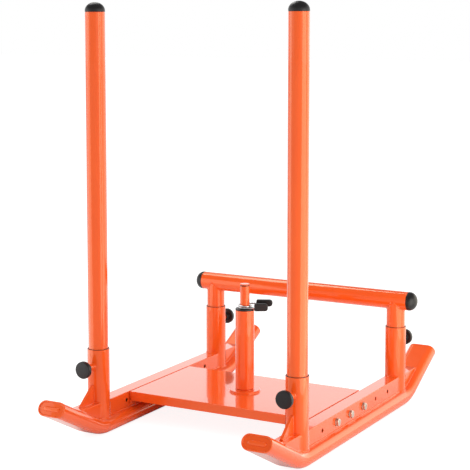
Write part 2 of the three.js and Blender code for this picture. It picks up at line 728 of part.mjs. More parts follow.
// A moulded grip over a lever's end, along +X with the wire on the X axis.
function gripPiece() {
  const body = solid(new THREE.ExtrudeGeometry(gripOutline(), {
    depth: GRIP_WIDTH - 2 * GRIP_EDGE,
    bevelEnabled: true,
    bevelThickness: GRIP_EDGE,
    bevelSize: GRIP_EDGE,
    bevelSegments: 2,
    curveSegments: ARC_SEGMENTS / 2,
  }).translate(0, GRIP_RISE, GRIP_EDGE - GRIP_WIDTH / 2).rotateX(Math.PI / 2));
  const bore = rod(COLLAR_WIRE / 2 + SEAT_GAP, -CUT_OVERRUN, GRIP_LENGTH - GRIP_END, SMALL_SIDES);
  return cut(body, alongX(bore)).translate([GRIP_START, 0, 0]);
}

const grip = gripPiece();

function collarGrip(name, angle, extra, offset, height) {
  const made = mesh(name, grip, BLACK);
  made.position.set(extra, offset, height);
  return turnedRound(group([0, 0, 0], made), angle);
}

function weightPostGroup() {
  const sleeve = ring(SLEEVE_DIAMETER / 2, SLEEVE_DIAMETER / 2 - SLEEVE_WALL, SLEEVE_SEAT + SEAT_GAP, SLEEVE_TOP_HEIGHT);
  const low = collar.coil[0].point.z;
  const high = collar.coil[collar.coil.length - 1].point.z;
  return group(
    [0, PLATE_Y, 0],
    mesh('base_plate', basePlate(), ORANGE),
    mesh('post_flange', postFlange(), ORANGE),
    mesh('weight_post', weightPost(), ORANGE),
    mesh('weight_sleeve', sleeve, ORANGE),
    mesh('sleeve_ring', sleeveRing(), BLACK),
    mesh('collar_coil', wire(COLLAR_WIRE, collar.path), CHROME),
    collarGrip('collar_grip_lower', lowerAngle, 0, -COLLAR_RADIUS, low),
    collarGrip('collar_grip_upper', upperAngle, UPPER_LEVER_EXTRA, COLLAR_RADIUS, high),
  );
}

const sled = group(
  [0, 0, 0],
  sledSide('left', -1),
  sledSide('right', 1),
  crossbar(),
  weightPostGroup(),
);

export default sled;
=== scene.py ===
"""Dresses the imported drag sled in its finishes: glossy powder-coated steel, black plastic, zinc and chrome.

It stands in a white studio. Sizes are millimetres, in the CAD's own frame: X across the sled, Y from the
uprights to the push bar, Z up.
"""
from math import acos, atan2, cos, hypot, pi, radians, sin, sqrt, tan

import bmesh
import bpy
from mathutils import Matrix, Vector


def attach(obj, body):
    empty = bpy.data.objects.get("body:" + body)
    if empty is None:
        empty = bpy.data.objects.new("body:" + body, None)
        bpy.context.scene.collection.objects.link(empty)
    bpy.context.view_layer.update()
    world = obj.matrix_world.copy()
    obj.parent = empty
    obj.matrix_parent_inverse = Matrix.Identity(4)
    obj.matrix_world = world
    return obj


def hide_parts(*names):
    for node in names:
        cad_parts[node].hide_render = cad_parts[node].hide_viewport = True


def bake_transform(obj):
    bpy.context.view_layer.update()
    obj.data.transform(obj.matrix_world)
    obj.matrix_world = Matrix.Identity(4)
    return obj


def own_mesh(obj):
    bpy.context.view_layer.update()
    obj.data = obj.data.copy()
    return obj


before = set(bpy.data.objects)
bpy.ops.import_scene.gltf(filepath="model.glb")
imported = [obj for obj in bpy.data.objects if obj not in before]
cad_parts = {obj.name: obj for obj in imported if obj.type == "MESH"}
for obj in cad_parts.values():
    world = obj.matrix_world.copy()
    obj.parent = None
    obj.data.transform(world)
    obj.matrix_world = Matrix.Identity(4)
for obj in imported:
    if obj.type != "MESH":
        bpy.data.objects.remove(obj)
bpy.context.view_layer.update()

MM = 0.001
UP = Vector((0, 0, 1))
SIDE_SIGNS = (("left", -1), ("right", 1))
END_TURNS = (("near", 0), ("far", 180))  # degrees that turn the near end's parts to each end

# Sizes of the CAD source, and between them the few that only the dressed model has
TRACK = 570
WHEELBASE = 610
GAP = 0.3  # between parts that touch
SKI_WIDTH = 80
SKI_HEIGHT = 40
BEND_RADIUS = 135
SKI_BEND = radians(27)
FLAT_HALF = WHEELBASE / 2 - 3
TIP_LENGTH = 159
SKI_END_THICKNESS = 5.9  # the CAD's 6, less what its coarser rounding takes off
SKI_END_EDGE = 2
SKI_END_RIM = 4.5
SKI_END_RECESS = 3
SKI_END_BAR = (48, 12)  # width and height
SKI_END_FLANK = ((0.2, 0.9), (0.7, 1.7), (1.6, 2.3), (3.2, 2.6), (5.9, 2.7))  # inset and rise over the field
RAIL_WIDTH = 40
RAIL_TOP = 82
RAIL_WALL = 2.5
RAIL_NOSE = 1
RAIL_CORNER = 1.6
RAIL_SHADE_SKIN = (0.1, 0.6)  # both faces, from a rail's wall, of the bare steel that paints shade into its holes
HOLE_COUNT = 6
HOLE_PITCH = 82
HOLE_DIAMETER = 11
TUBE_RADIUS = 25.4
TUBE_WALL = 2.5
TUBE_BOTTOM = RAIL_TOP + GAP
SOCKET_RADIUS = 28.5
SOCKET_BORE = 26
SOCKET_TOP = 219
SHADE_LIP_GAP = 0.1  # between a socket's mouth and the black lip that paints its shadow line
SHADE_LIP_HEIGHT = 0.9  # how far the lip stands above the mouth
SHADE_LIP_INSET = 0.6
POLE_TOP = 1078
CAP_DOME = 24
CAP_PLUG = 16
CAP_RIM = 3
BAR_HEIGHT = 292
BAR_HALF = TRACK / 2 + 37
GUSSET_THICKNESS = 8
GUSSET_REACH = 55
GUSSET_HEIGHT = 46
GUSSET_NOSE = 3
PIN_HEIGHT = 176
NOSE_RADIUS = 4
PIN_COLLAR_RADIUS = 5.5
PIN_COLLAR_LENGTH = 3
STEM_RADIUS = 3
PIN_CLEARANCE = 0.4
HOUSING_RADIUS = 8.5
HOUSING_BORE = 6
HOUSING_LENGTH = 32
HOUSING_END = 3
SPRING_WIRE = 1.2
SPRING_TURNS = 5
KNOB_RADIUS = 22
KNOB_LENGTH = 12
KNOB_EDGE = 2.5
KNOB_CROWN = 0.5
KNOB_SOCKET = 7
SKIRT_LENGTH = 14
SKIRT_WALL = 2.4
SKIRT_BORE = HOUSING_RADIUS + 0.6
PLATE_THICKNESS = 3
PLATE_BEND = 1.2
PLATE_GAP = 3  # beside each rail; wider than the CAD's, for the dark seam
PLATE_HALF_X = TRACK / 2 - RAIL_WIDTH / 2 - PLATE_GAP
PLATE_HALF_Y = 153
PLATE_END_FLANGE = 24
PLATE_SIDE_FLANGE = 34
FIRST_HOLE_Y = -(HOLE_COUNT - 1) * HOLE_PITCH / 2
BOLT_HEIGHT = 61
BOLT_COUNT = 3
FIRST_BOLT_Y = FIRST_HOLE_Y + HOLE_PITCH
PLATE_Y = FIRST_BOLT_Y + HOLE_PITCH
BOLT_RADIUS = 5
BOLT_ACROSS = 17
BOLT_HEAD = 6.4
HEX_FACE = 0.94  # a hexagon's round end face, as a share of its width
HEX_SLOPE = radians(30)
THREAD_PITCH = 1.5
THREAD_DEPTH = 0.5
THREAD_TURNS = 12
WASHER_RADIUS = 10.5
WASHER_THICKNESS = 1.8
NUT_HEIGHT = 8
NUT_FACE = -RAIL_WIDTH / 2 - PLATE_GAP - PLATE_THICKNESS - GAP
BOLT_END = NUT_FACE - NUT_HEIGHT - 3
POST_RADIUS = 12.5
POST_TOP = 369
POST_CHAMFER = 1
GROOVE_HEIGHT = POST_TOP - 4.2  # under the welded end disc
GROOVE_DEPTH = 3
GROOVE_HALF = (1, 1.3)  # half of its width, at its floor and at its mouth
FLANGE_RADIUS = 41
FLANGE_TOP = TUBE_BOTTOM + 5
FLANGE_SPIGOT = 6
SLEEVE_SEAT = FLANGE_TOP + 1
SLEEVE_RADIUS = 25
SLEEVE_BORE = 22
SLEEVE_TOP = 299.5
SLEEVE_FIT = 0.3
SLEEVE_FOOT = (2.4, 2.2)  # width and height of the chamfer at its foot
RING_TOP = SLEEVE_TOP + GAP + 4
RING_PLUG = 12
WIRE_RADIUS = 2.1
COIL_RADIUS = POST_RADIUS + 1.5 + WIRE_RADIUS
COIL_PITCH = 4.8
COIL_STEPS = 80
COIL_SPLIT = 27  # the step at which the collar's two lengths of wire meet
LOWER_ANGLE = radians(32)
UPPER_ANGLE = radians(26)
UPPER_EXTRA = 9
LEVER_BEND = (8, 22)  # the stretch of a lever that bends, from the coil's middle
GRIP_LENGTH = 36
GRIP_HEIGHT = 18
GRIP_WIDTH = 12
GRIP_RISE = 1.5
GRIP_CORNERS = (4, 8)  # inner and outer
GRIP_EDGE = 2.5
GRIP_BORE = GRIP_LENGTH - 3
GRIP_START = sqrt((SLEEVE_RADIUS + 0.6) ** 2 - (COIL_RADIUS - GRIP_WIDTH / 2) ** 2)
LOWER_GROWTH = (0, 0, 2)  # how much larger than the CAD's a grip is: inwards, outwards and on top
UPPER_GROWTH = (3, 4, 0)
LEVER_LENGTH = GRIP_START + GRIP_BORE - GAP

# Fineness
SIDES = 72
SMALL_SIDES = 36
WIRE_SIDES = 16
SPRING_SIDES = 8
CORNER_STEPS = 5
OVAL_STEPS = 14
BEND_STEPS = 18
DOME_STEPS = 12
OVERRUN = 5  # how far a cutting shape runs past what it cuts
SHARP = radians(34)

# Weld beads, and the hollow welds at the sockets' ears as (height, radius)
BEAD = 1.9  # half of a bead's width
BEAD_RIPPLE = 2.6  # length of one ripple of the torch
BEAD_DEPTH = 0.12  # a ripple's height, as a share of the bead
BEAD_STEP = 0.65
BEAD_SIDES = 8
BEAD_LIFT = 0.3  # how far a rail's bead lies outside its corner
EAR_WELD = ((SKI_HEIGHT - 2, 25), (74, 25), (78, 16), (80.2, 8), (81.2, 3))
EAR_WELD_STEPS = 8
EAR_WELD_SINK = (0.1, 0.6)  # into the rail and into the ear


# Nodes and finishes

def add(tree, kind, inputs=None, **settings):
    """Adds a node. An input is linked to a socket or to a node's first output, or set to a value."""
    made = tree.nodes.new(kind)
    for key, value in settings.items():
        setattr(made, key, value)
    for key, value in (inputs or {}).items():
        if isinstance(value, bpy.types.Node):
            value = value.outputs[0]
        if isinstance(value, bpy.types.NodeSocket):
            tree.links.new(value, made.inputs[key])
        else:
            made.inputs[key].default_value = value
    return made


def calc(tree, operation, *values):
    return add(tree, "ShaderNodeMath", dict(enumerate(values)), operation=operation)


def srgb(value):
    """A hex colour, in linear light."""
    channels = [(value >> shift & 255) / 255 for shift in (16, 8, 0)]
    return (*[c / 12.92 if c <= 0.04045 else ((c + 0.055) / 1.055) ** 2.4 for c in channels], 1)


def new_finish(name, tint, colours, sheen, roughness, grain=None, bump=0, **values):
    """A material whose colour and roughness each run between two values, with an optional bump.

    The patterns are noises on Object coordinates, each as (width of a cell in mm, detail).
    """
    made = bpy.data.materials.new(name)
    made.use_nodes = True
    tree = made.node_tree
    tree.nodes.clear()
    place = add(tree, "ShaderNodeTexCoord").outputs["Object"]

    def noise(cell, detail):
        return add(tree, "ShaderNodeTexNoise", {"Vector": place, "Scale": 1 / (cell * MM), "Detail": detail})

    low, high = (srgb(colour) for colour in colours)
    colour = add(tree, "ShaderNodeMix", {0: noise(*tint), 6: low, 7: high}, data_type="RGBA")
    low, high = roughness
    gloss = add(tree, "ShaderNodeMapRange", {"Value": noise(*sheen), "To Min": low, "To Max": high})
    values.update({"Base Color": colour.outputs[2], "Roughness": gloss})
    if grain:
        relief = {"Height": noise(*grain), "Strength": bump, "Distance": 0.2 * MM}
        values["Normal"] = add(tree, "ShaderNodeBump", relief)
    shader = add(tree, "ShaderNodeBsdfPrincipled", values)
    add(tree, "ShaderNodeOutputMaterial", {"Surface": shader})
    return made


PAINT, PLASTIC, ZINC = "orange_paint", "black_plastic", "zinc_steel"
FINISHES = {
    # Polyester powder coat, baked on: a wet gloss with a faint orange peel, and a colour that deepens where
    # the powder lies thicker. The peel is drawn at 7 mm instead of 2 to 3 mm, so that it still shows.
    PAINT: new_finish(
        "powder_coat_orange_gloss", (130, 3), (0xF9571C, 0xFF6120), (24, 4), (0.1, 0.19), (7, 1), 0.1, **{
            "IOR": 1.5, "Specular Tint": srgb(0xFFE184),
            "Coat Weight": 0.9, "Coat IOR": 1.5, "Coat Roughness": 0.03,
        }),
    # Black moulded polyethylene: satin, from a spark-eroded mould. Its 0.5 mm grain is drawn at 3 mm.
    PLASTIC: new_finish(
        "polyethylene_moulded_black", (18, 3), (0x161416, 0x221F21), (3, 2), (0.3, 0.46), (3, 2), 0.35,
        IOR=1.51),
    # Bright zinc plate, passivated: silver with a faint straw tone, and a cloudy, uneven sheen.
    ZINC: new_finish(
        "zinc_plate_bright", (6, 3), (0xBCB0A2, 0xECE4D8), (6, 3), (0.2, 0.38), Metallic=1),
    # Chrome over drawn spring wire: bright, and a little blurred by the drawing marks still under it.
    "chrome_wire": new_finish(
        "chrome_on_drawn_wire", (2, 2), (0xDCDEE0, 0xF6F7F8), (2, 2), (0.14, 0.26), Metallic=1),
    # Oil-tempered spring wire: darker than chrome, half matt, streaked with scale. Also for the bare-steel
    # lining that paints shade inside the rails.
    "spring_steel": new_finish(
        "spring_wire_oil_tempered", (1.5, 3), (0x5E6064, 0x94979B), (1.5, 3), (0.28, 0.5), Metallic=1),
}


# Solids, as bmesh in millimetres

def softened(corners, closed=True, steps=CORNER_STEPS):
    """An outline whose (x, y, radius) corners are rounded."""
    points = []
    for i, (x, y, radius) in enumerate(corners):
        here = Vector((x, y))
        if radius == 0 or (not closed and i in (0, len(corners) - 1)):
            points.append(here)
            continue
        before = (Vector(corners[i - 1][:2]) - here).normalized()
        after = (Vector(corners[(i + 1) % len(corners)][:2]) - here).normalized()
        half = before.angle(after) / 2
        centre = here + (before + after).normalized() * radius / sin(half)
        start = here + before * radius / tan(half) - centre
        end = here + after * radius / tan(half) - centre
        sweep = atan2(start.x * end.y - start.y * end.x, start.dot(end))
        points += [centre + Matrix.Rotation(sweep * k / steps, 2) @ start for k in range(steps + 1)]
    return points


def obround(width, height):
    reach, radius = (width - height) / 2, height / 2
    points = []
    for side in (1, -1):
        for k in range(OVAL_STEPS + 1):
            angle = pi * (k / OVAL_STEPS - 0.5)
            across = reach + radius * cos(angle)
            points.append(Vector((side * across, side * radius * sin(angle))))
    return points


def full_turn(count):
    """Angles all the way round."""
    return [2 * pi * i / count for i in range(count)]


def around(radius, angle, height=0):
    return Vector((radius * cos(angle), radius * sin(angle), height))


def loft(rings, hoop=False):
    """Skins rings of points. A ring of one point is a pole; a hoop joins its last ring to its first."""
    solid = bmesh.new()
    rows = [[solid.verts.new(point) for point in ring] for ring in rings]
    for low, high in zip(rows, rows[1:] + rows[:1] if hoop else rows[1:]):
        for i in range(max(len(low), len(high))):
            j = i + 1
            corners = [low[i % len(low)], low[j % len(low)], high[j % len(high)], high[i % len(high)]]
            corners = list(dict.fromkeys(corners))
            if len(corners) > 2:
                solid.faces.new(corners)
    if not hoop:
        for row in (rows[0], rows[-1]):
            if len(row) > 2:
                solid.faces.new(row)
    bmesh.ops.recalc_face_normals(solid, faces=solid.faces)
    return solid


def turned(profile, sides=SIDES, hoop=False):
    """A profile of (radius, height) turned about Z."""
    return loft([[around(r, a, z) for a in full_turn(sides if r > 0 else 1)] for r, z in profile], hoop)


def ring(corners, sides=SIDES):
    """A closed outline of (radius, height, rounding) turned about Z, clear of it."""
    return turned(softened(corners), sides, hoop=True)


def spindle(corners, sides=SIDES):
    """An outline of (radius, height, rounding) turned about Z, from one point on it to another."""
    return turned(softened(corners, closed=False), sides)


def tube(outer, inner, low, high, lip=0.6):
    """A tube along Z with softened lips."""
    corners = [(inner, low, 0), (outer, low, lip), (outer, high, lip), (inner, high, lip)]
    return turned(softened(corners, steps=3), hoop=True)


def rod(radius, low, high, sides=SMALL_SIDES):
    """A round bar along Z, for cutting with."""
    return turned([(0, low), (radius, low), (radius, high), (0, high)], sides)


def prism(outline, low, high, along):
    """An outline of points stretched along an axis. X takes them as (y, z), Y as (x, z) and Z as (x, y)."""
    def at(point, depth):
        a, b = point
        return Vector({"X": (depth, a, b), "Y": (a, depth, b), "Z": (a, b, depth)}[along])
    return loft([[at(point, depth) for point in outline] for depth in (low, high)])


def block(low, high):
    corners = [(low[0], low[1]), (high[0], low[1]), (high[0], high[1]), (low[0], high[1])]
    return prism(corners, low[2], high[2], "Z")


def rounded_edges(solid, width, chosen=None, segments=4):
    """Rounds the sharp edges that are chosen, or all of them."""
    edges = [e for e in solid.edges if e.calc_face_angle(0) > SHARP and (chosen is None or chosen(e))]
    bmesh.ops.bevel(
        solid, geom=edges, offset=width, segments=segments, profile=0.5, affect="EDGES", clamp_overlap=True)
    return solid


def placed(solid, *turns):
    """The solid after each matrix in turn, the last one nearest to the solid."""
    for matrix in reversed(turns):
        bmesh.ops.transform(solid, matrix=matrix, verts=solid.verts)
    return solid


def shift(x, y, z):
    return Matrix.Translation((x, y, z))


def turn(degrees, axis):
    return Matrix.Rotation(radians(degrees), 4, axis)


def joined(*solids):
    """Several solids in one mesh, each left as it is."""
    whole = bmesh.new()
    for solid in solids:
        part = bpy.data.meshes.new("part")
        solid.to_mesh(part)
        solid.free()
        whole.from_mesh(part)
        bpy.data.meshes.remove(part)
    return whole


def in_scene(name, data):
    made = bpy.data.objects.new(name, data)
    bpy.context.scene.collection.objects.link(made)
    return made


def shown(name, solid):
    """An object in the scene that holds the solid, still in millimetres."""
    mesh = bpy.data.meshes.new(name)
    solid.to_mesh(mesh)
    solid.free()
    return in_scene(name, mesh)


def result(made):
    """The mesh of an object with its modifiers done; the object is removed."""
    bpy.context.view_layer.update()
    evaluated = made.evaluated_get(bpy.context.evaluated_depsgraph_get())
    mesh = bpy.data.meshes.new_from_object(evaluated)
    bpy.data.objects.remove(made)
    return mesh


def worked(solid, *tools, way="DIFFERENCE"):
    """Cuts the tools out of the solid, or keeps what is common to both."""
    made = shown("worked", solid)
    cutters = [shown("tool", tool) for tool in tools]
    for cutter in cutters:
        step = made.modifiers.new("step", "BOOLEAN")
        step.operation, step.solver, step.object = way, "EXACT", cutter
    mesh = result(made)
    for cutter in cutters:
        bpy.data.objects.remove(cutter)
    left = bmesh.new()
    left.from_mesh(mesh)
    return left


# Geometry Nodes for what repeats or follows a path

def new_form(name, *lengths, **others):
    """A Geometry Nodes tree with named inputs. Returns the tree and what comes in."""
    form = bpy.data.node_groups.new(name, "GeometryNodeTree")
    form.interface.new_socket("Geometry", in_out="OUTPUT", socket_type="NodeSocketGeometry")
    kinds = {"Geometry": "Geometry", **dict.fromkeys(lengths, "Float"), **others, "Finish": "Material"}
    for label, kind in kinds.items():
        form.interface.new_socket(label, in_out="INPUT", socket_type=f"NodeSocket{kind}")
    return form, add(form, "NodeGroupInput").outputs


def end_form(form, given, geometry):
    """Ends a tree in Realize Instances and Set Material, which the export needs."""
    real = add(form, "GeometryNodeRealizeInstances", {0: geometry})
    painted = add(form, "GeometryNodeSetMaterial", {"Geometry": real, "Material": given["Finish"]})
    add(form, "NodeGroupOutput", {0: painted})


def points_in_line(form, given):
    """Count points from Start, each a Pitch from the one before."""
    sizes = {"Count": given["Count"], "Start Location": given["Start"], "Offset": given["Pitch"]}
    return add(form, "GeometryNodeMeshLine", sizes, mode="OFFSET")


def wire_along(form, given, curve, radius="Radius"):
    """Round wire along a curve, closed at its ends."""
    sizes = {"Radius": given[radius], "Resolution": given["Sides"]}
    outline = add(form, "GeometryNodeCurvePrimitiveCircle", sizes)
    return add(form, "GeometryNodeCurveToMesh", {"Curve": curve, "Profile Curve": outline, "Fill Caps": True})


def grown(form, source, slot, **sizes):
    """Runs a tree on an object and returns its mesh."""
    step = source.modifiers.new("form", "NODES")
    step.node_group = form
    values = {**sizes, "Finish": FINISHES[slot]}
    for item in form.interface.items_tree:
        if item.in_out == "INPUT" and item.name in values:
            step[item.identifier] = values[item.name]
    return result(source)


# A row of fasteners, each a copy of one object
row_form, given = new_form("fastener_row", Fastener="Object", Count="Int", Start="Vector", Pitch="Vector")
copied = add(row_form, "GeometryNodeObjectInfo", {"Object": given["Fastener"]}, transform_space="ORIGINAL")
row = add(row_form, "GeometryNodeInstanceOnPoints", {
    "Points": points_in_line(row_form, given), "Instance": copied.outputs["Geometry"],
})
end_form(row_form, given, row)

# A row of holes drilled along X
drill_form, given = new_form("drilled_row", "Radius", "Depth", Count="Int", Start="Vector", Pitch="Vector")
drill = add(drill_form, "GeometryNodeMeshCylinder", {
    "Vertices": SMALL_SIDES, "Radius": given["Radius"], "Depth": given["Depth"],
})
row = add(drill_form, "GeometryNodeInstanceOnPoints", {
    "Points": points_in_line(drill_form, given), "Instance": drill, "Rotation": (0, pi / 2, 0),
})
real = add(drill_form, "GeometryNodeRealizeInstances", {0: row})
pair = {"Mesh 1": given["Geometry"], "Mesh 2": real}
cut = add(drill_form, "GeometryNodeMeshBoolean", pair, operation="DIFFERENCE", solver="EXACT")
end_form(drill_form, given, cut)

# Round wire that follows a line of points
wire_form, given = new_form("formed_wire", "Radius", Sides="Int")
path = add(wire_form, "GeometryNodeMeshToCurve", {"Mesh": given["Geometry"]})
end_form(wire_form, given, wire_along(wire_form, given, path))

# A coil spring along Z
coil_form, given = new_form("coil_spring", "Radius", "Height", "Turns", "Wire", Sides="Int")
helix = add(coil_form, "GeometryNodeCurveSpiral", {
    "Resolution": SMALL_SIDES, "Rotations": given["Turns"], "Start Radius": given["Radius"],
    "End Radius": given["Radius"], "Height": given["Height"],
})
end_form(coil_form, given, wire_along(coil_form, given, helix, "Wire"))

# A weld bead along its seam, rippled and a little uneven
bead_form, given = new_form("weld_bead", "Radius", "Ripple", "Depth", "Step", Sides="Int")
seam = add(bead_form, "GeometryNodeMeshToCurve", {"Mesh": given["Geometry"]})
seam = add(bead_form, "GeometryNodeResampleCurve", {"Curve": seam, "Length": given["Step"]}, mode="LENGTH")
length = add(bead_form, "GeometryNodeSplineParameter").outputs["Length"]
angle = calc(bead_form, "MULTIPLY", calc(bead_form, "DIVIDE", length, given["Ripple"]), 2 * pi)
ripple = calc(bead_form, "MULTIPLY_ADD", calc(bead_form, "SINE", angle), given["Depth"], 1)
uneven = add(bead_form, "ShaderNodeTexNoise", {"Scale": 0.12, "Detail": 1})
wander = add(bead_form, "ShaderNodeMapRange", {"Value": uneven, "To Min": 0.85, "To Max": 1.15})
swell = calc(bead_form, "MULTIPLY", ripple, wander)
seam = add(bead_form, "GeometryNodeSetCurveRadius", {"Curve": seam, "Radius": swell})
end_form(bead_form, given, wire_along(bead_form, given, seam))


def polyline(*lines):
    """An object of plain edges, for a tree to follow. Each line is its points and whether it closes."""
    path = bmesh.new()
    for points, closes in lines:
        row = [path.verts.new(point) for point in points]
        for a, b in zip(row, row[1:] + row[:1] if closes else row[1:]):
            path.edges.new((a, b))
    return shown("path", path)


def bare_point():
    """An object for a tree that draws everything itself."""
    return polyline(([Vector()], False))


def drilled(solid, slot, count, first_y, width, wider=0):
    """A solid's mesh with bolt holes across it, a hole pitch apart, and wider in radius by so much."""
    return grown(
        drill_form, shown("blank", solid), slot, Count=count, Start=(0, first_y, BOLT_HEIGHT),
        Pitch=(0, HOLE_PITCH, 0), Radius=HOLE_DIAMETER / 2 + wider, Depth=float(width + 2 * OVERRUN),
    )


def piece(name, form, body, slot, *replaced):
    """Gives a piece its mesh in metres, smooth but for its edges, its finish, body and replaced nodes.

    The body may instead be two bodies' names and two points in metres, for a piece meant to bend between
    them;
    these are not used, and such a piece is left without a body.
    """
    if isinstance(form, bmesh.types.BMesh):
        mesh = bpy.data.meshes.new(name)
        form.to_mesh(mesh)
        form.free()
    else:
        mesh = form
        mesh.name = name
    mesh.transform(Matrix.Scale(MM, 4))
    mesh.materials.clear()
    mesh.materials.append(FINISHES[slot])
    mesh.polygons.foreach_set("material_index", [0] * len(mesh.polygons))
    mesh.shade_smooth()
    mesh.set_sharp_from_angle(angle=SHARP)
    made = in_scene(name, mesh)
    made.modifiers.new("step", "WEIGHTED_NORMAL").keep_sharp = True  # flat faces reflect flat
    made = in_scene(name, result(made))
    if isinstance(body, str):
        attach(made, body)
    else:
        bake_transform(made)
    if replaced:
        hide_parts(*replaced)
    return made


# Skis

def ski_path(past_end=0):
    """Points along the middle of a ski from its near end, each with the ski's direction there."""
    half = []
    for i in range(BEND_STEPS + 1):
        angle = SKI_BEND * i / BEND_STEPS
        y = FLAT_HALF + BEND_RADIUS * sin(angle)
        z = SKI_HEIGHT / 2 + BEND_RADIUS * (1 - cos(angle))
        half.append((Vector((0, y, z)), Vector((0, cos(angle), sin(angle)))))
    point, direction = half[-1]
    half.append((point + direction * (TIP_LENGTH + past_end), direction))
    near = [(Vector((0, -p.y, p.z)), Vector((0, d.y, -d.z))) for p, d in half]
    return near[::-1] + half


def ski_solid(grow=0, past_end=0):
    """A ski, or a larger one to cut with."""
    rings = []
    for point, direction in ski_path(past_end):
        rise = Vector((0, -direction.z, direction.y))
        outline = obround(SKI_WIDTH + 2 * grow, SKI_HEIGHT + 2 * grow)
        rings.append([point + Vector((a, 0, 0)) + rise * b for a, b in outline])
    return loft(rings)


def ski_top(y):
    """Height of the ski's top at a place along it."""
    away = abs(y) - FLAT_HALF
    inner = BEND_RADIUS - SKI_HEIGHT / 2
    if away <= 0:
        return SKI_HEIGHT
    if away < inner * sin(SKI_BEND):
        return SKI_HEIGHT / 2 + BEND_RADIUS - sqrt(inner ** 2 - away ** 2)
    bend_end = SKI_HEIGHT / 2 + BEND_RADIUS - inner * cos(SKI_BEND)
    return bend_end + (away - inner * sin(SKI_BEND)) * tan(SKI_BEND)


def oval_stack(width, height, levels):
    """Flat ovals skinned over one another. Each level is how far its oval is inset and how high it lies."""
    return loft([
        [point.to_3d() + UP * level for point in obround(width - 2 * inset, height - 2 * inset)]
        for inset, level in levels
    ])


def ski_end_solid():
    """A pressed end plate facing +Z: a rolled rim, a sunk field and a plain bar."""
    field = SKI_END_THICKNESS - SKI_END_RECESS
    plate = softened([
        (0, 0, 0), (0, SKI_END_THICKNESS, SKI_END_EDGE), (SKI_END_RIM - 1, SKI_END_THICKNESS, 0.8),
        (SKI_END_RIM, field, 0.8), (SKI_END_RIM + 3, field, 0),
    ], closed=False)
    bar = [(inset, field + rise) for inset, rise in ((0, -1), (0, 0), *SKI_END_FLANK)]
    return joined(oval_stack(SKI_WIDTH, SKI_HEIGHT, plate), oval_stack(*SKI_END_BAR, bar))


for side, sign in SIDE_SIGNS:
    x = sign * TRACK / 2
    piece(f"ski_runner_{side}", placed(ski_solid(), shift(x, 0, 0)), "frame", PAINT, f"ski_{side}")
    point, direction = ski_path()[0]
    for end, half_turn in END_TURNS:
        solid = placed(
            ski_end_solid(), shift(x, 0, 0), turn(half_turn, "Z"), shift(*(point - direction * GAP)),
            Matrix.Rotation(pi / 2 - SKI_BEND, 4, "X"),
        )
        piece(f"ski_plate_{end}_{side}", solid, "frame", PAINT, f"ski_end_{end}_{side}")


# Rails, which end where their top meets the skis' bends

inner_bend = BEND_RADIUS - SKI_HEIGHT / 2 - GAP
bend_height = SKI_HEIGHT / 2 + BEND_RADIUS - inner_bend * cos(SKI_BEND)
past_bend = (RAIL_TOP - RAIL_NOSE - bend_height) / tan(SKI_BEND)
RAIL_HALF = FLAT_HALF + inner_bend * sin(SKI_BEND) + past_bend


def rail_room(inset):
    """The hollow of a rail, less so much on every side."""
    half = RAIL_WIDTH / 2 - RAIL_WALL - inset
    reach = FLAT_HALF - inset
    low, high = SKI_HEIGHT + GAP + RAIL_WALL + inset, RAIL_TOP - RAIL_WALL - inset
    return block((-half, -reach, low), (half, reach, high))


def rail_solid():
    """A box tube that straddles the ski's top."""
    half = RAIL_WIDTH / 2
    low = SKI_HEIGHT - RAIL_WALL
    outline = softened(
        [(-half, low, 0), (half, low, 0), (half, RAIL_TOP, RAIL_CORNER), (-half, RAIL_TOP, RAIL_CORNER)])
    blank = prism(outline, -RAIL_HALF, RAIL_HALF, "Y")
    return worked(blank, ski_solid(GAP, OVERRUN), rail_room(0))


# Each rail is lined inside with dark bare steel, which paints the shade seen through its holes.
for side, sign in SIDE_SIGNS:
    for name, solid, slot, wider, replaced in (
        ("rail_tube", rail_solid(), PAINT, 0, [f"rail_{side}"]),
        ("rail_inside", worked(*map(rail_room, RAIL_SHADE_SKIN)), "spring_steel", 0.5, []),
    ):
        mesh = drilled(solid, slot, HOLE_COUNT, FIRST_HOLE_Y, RAIL_WIDTH, wider)
        mesh.transform(shift(sign * TRACK / 2, 0, 0))
        piece(f"{name}_{side}", mesh, "frame", slot, *replaced)


# Sockets, gussets and pull pins, built for the near end and turned round for the far one

HOUSING_START = SOCKET_RADIUS + GAP
HOUSING_STOP = HOUSING_START + HOUSING_LENGTH
COLLAR_START = HOUSING_START + GAP
COLLAR_STOP = COLLAR_START + PIN_COLLAR_LENGTH
KNOB_START = HOUSING_STOP + GAP
PIN_STOP = KNOB_START + KNOB_SOCKET - GAP
SPRING_START = COLLAR_STOP + GAP + SPRING_WIRE / 2
SPRING_STOP = HOUSING_STOP - HOUSING_END - GAP - SPRING_WIRE / 2


def pin_drill(radius):
    """Drills the pin's hole in the near wall of a tube of that radius."""
    drill = rod(NOSE_RADIUS + PIN_CLEARANCE, 0, radius + OVERRUN)
    return placed(drill, shift(0, 0, PIN_HEIGHT), turn(90, "X"))


def socket_solid():
    """A tube that straddles the rail with two ears, which reach down to the ski."""
    reach = SOCKET_RADIUS + OVERRUN
    half = RAIL_WIDTH / 2 + GAP
    return worked(
        tube(SOCKET_RADIUS, SOCKET_BORE, SKI_HEIGHT / 2, SOCKET_TOP, 0.5),
        block((-half, -reach, 0), (half, reach, TUBE_BOTTOM)),
        placed(ski_solid(GAP, OVERRUN), shift(0, WHEELBASE / 2, 0)),
        pin_drill(SOCKET_RADIUS),
    )


def shade_lip_solid():
    """A thin black plastic lip in a socket's mouth, which paints the shadow line where the upright goes in.
    """
    bore, outside = TUBE_RADIUS + GAP, SOCKET_RADIUS - SHADE_LIP_INSET
    low, high = SOCKET_TOP + SHADE_LIP_GAP, SOCKET_TOP + SHADE_LIP_HEIGHT
    return ring([(bore, low, 0), (outside, low, 0), (outside, high, 0.4), (bore, high, 0.2)])


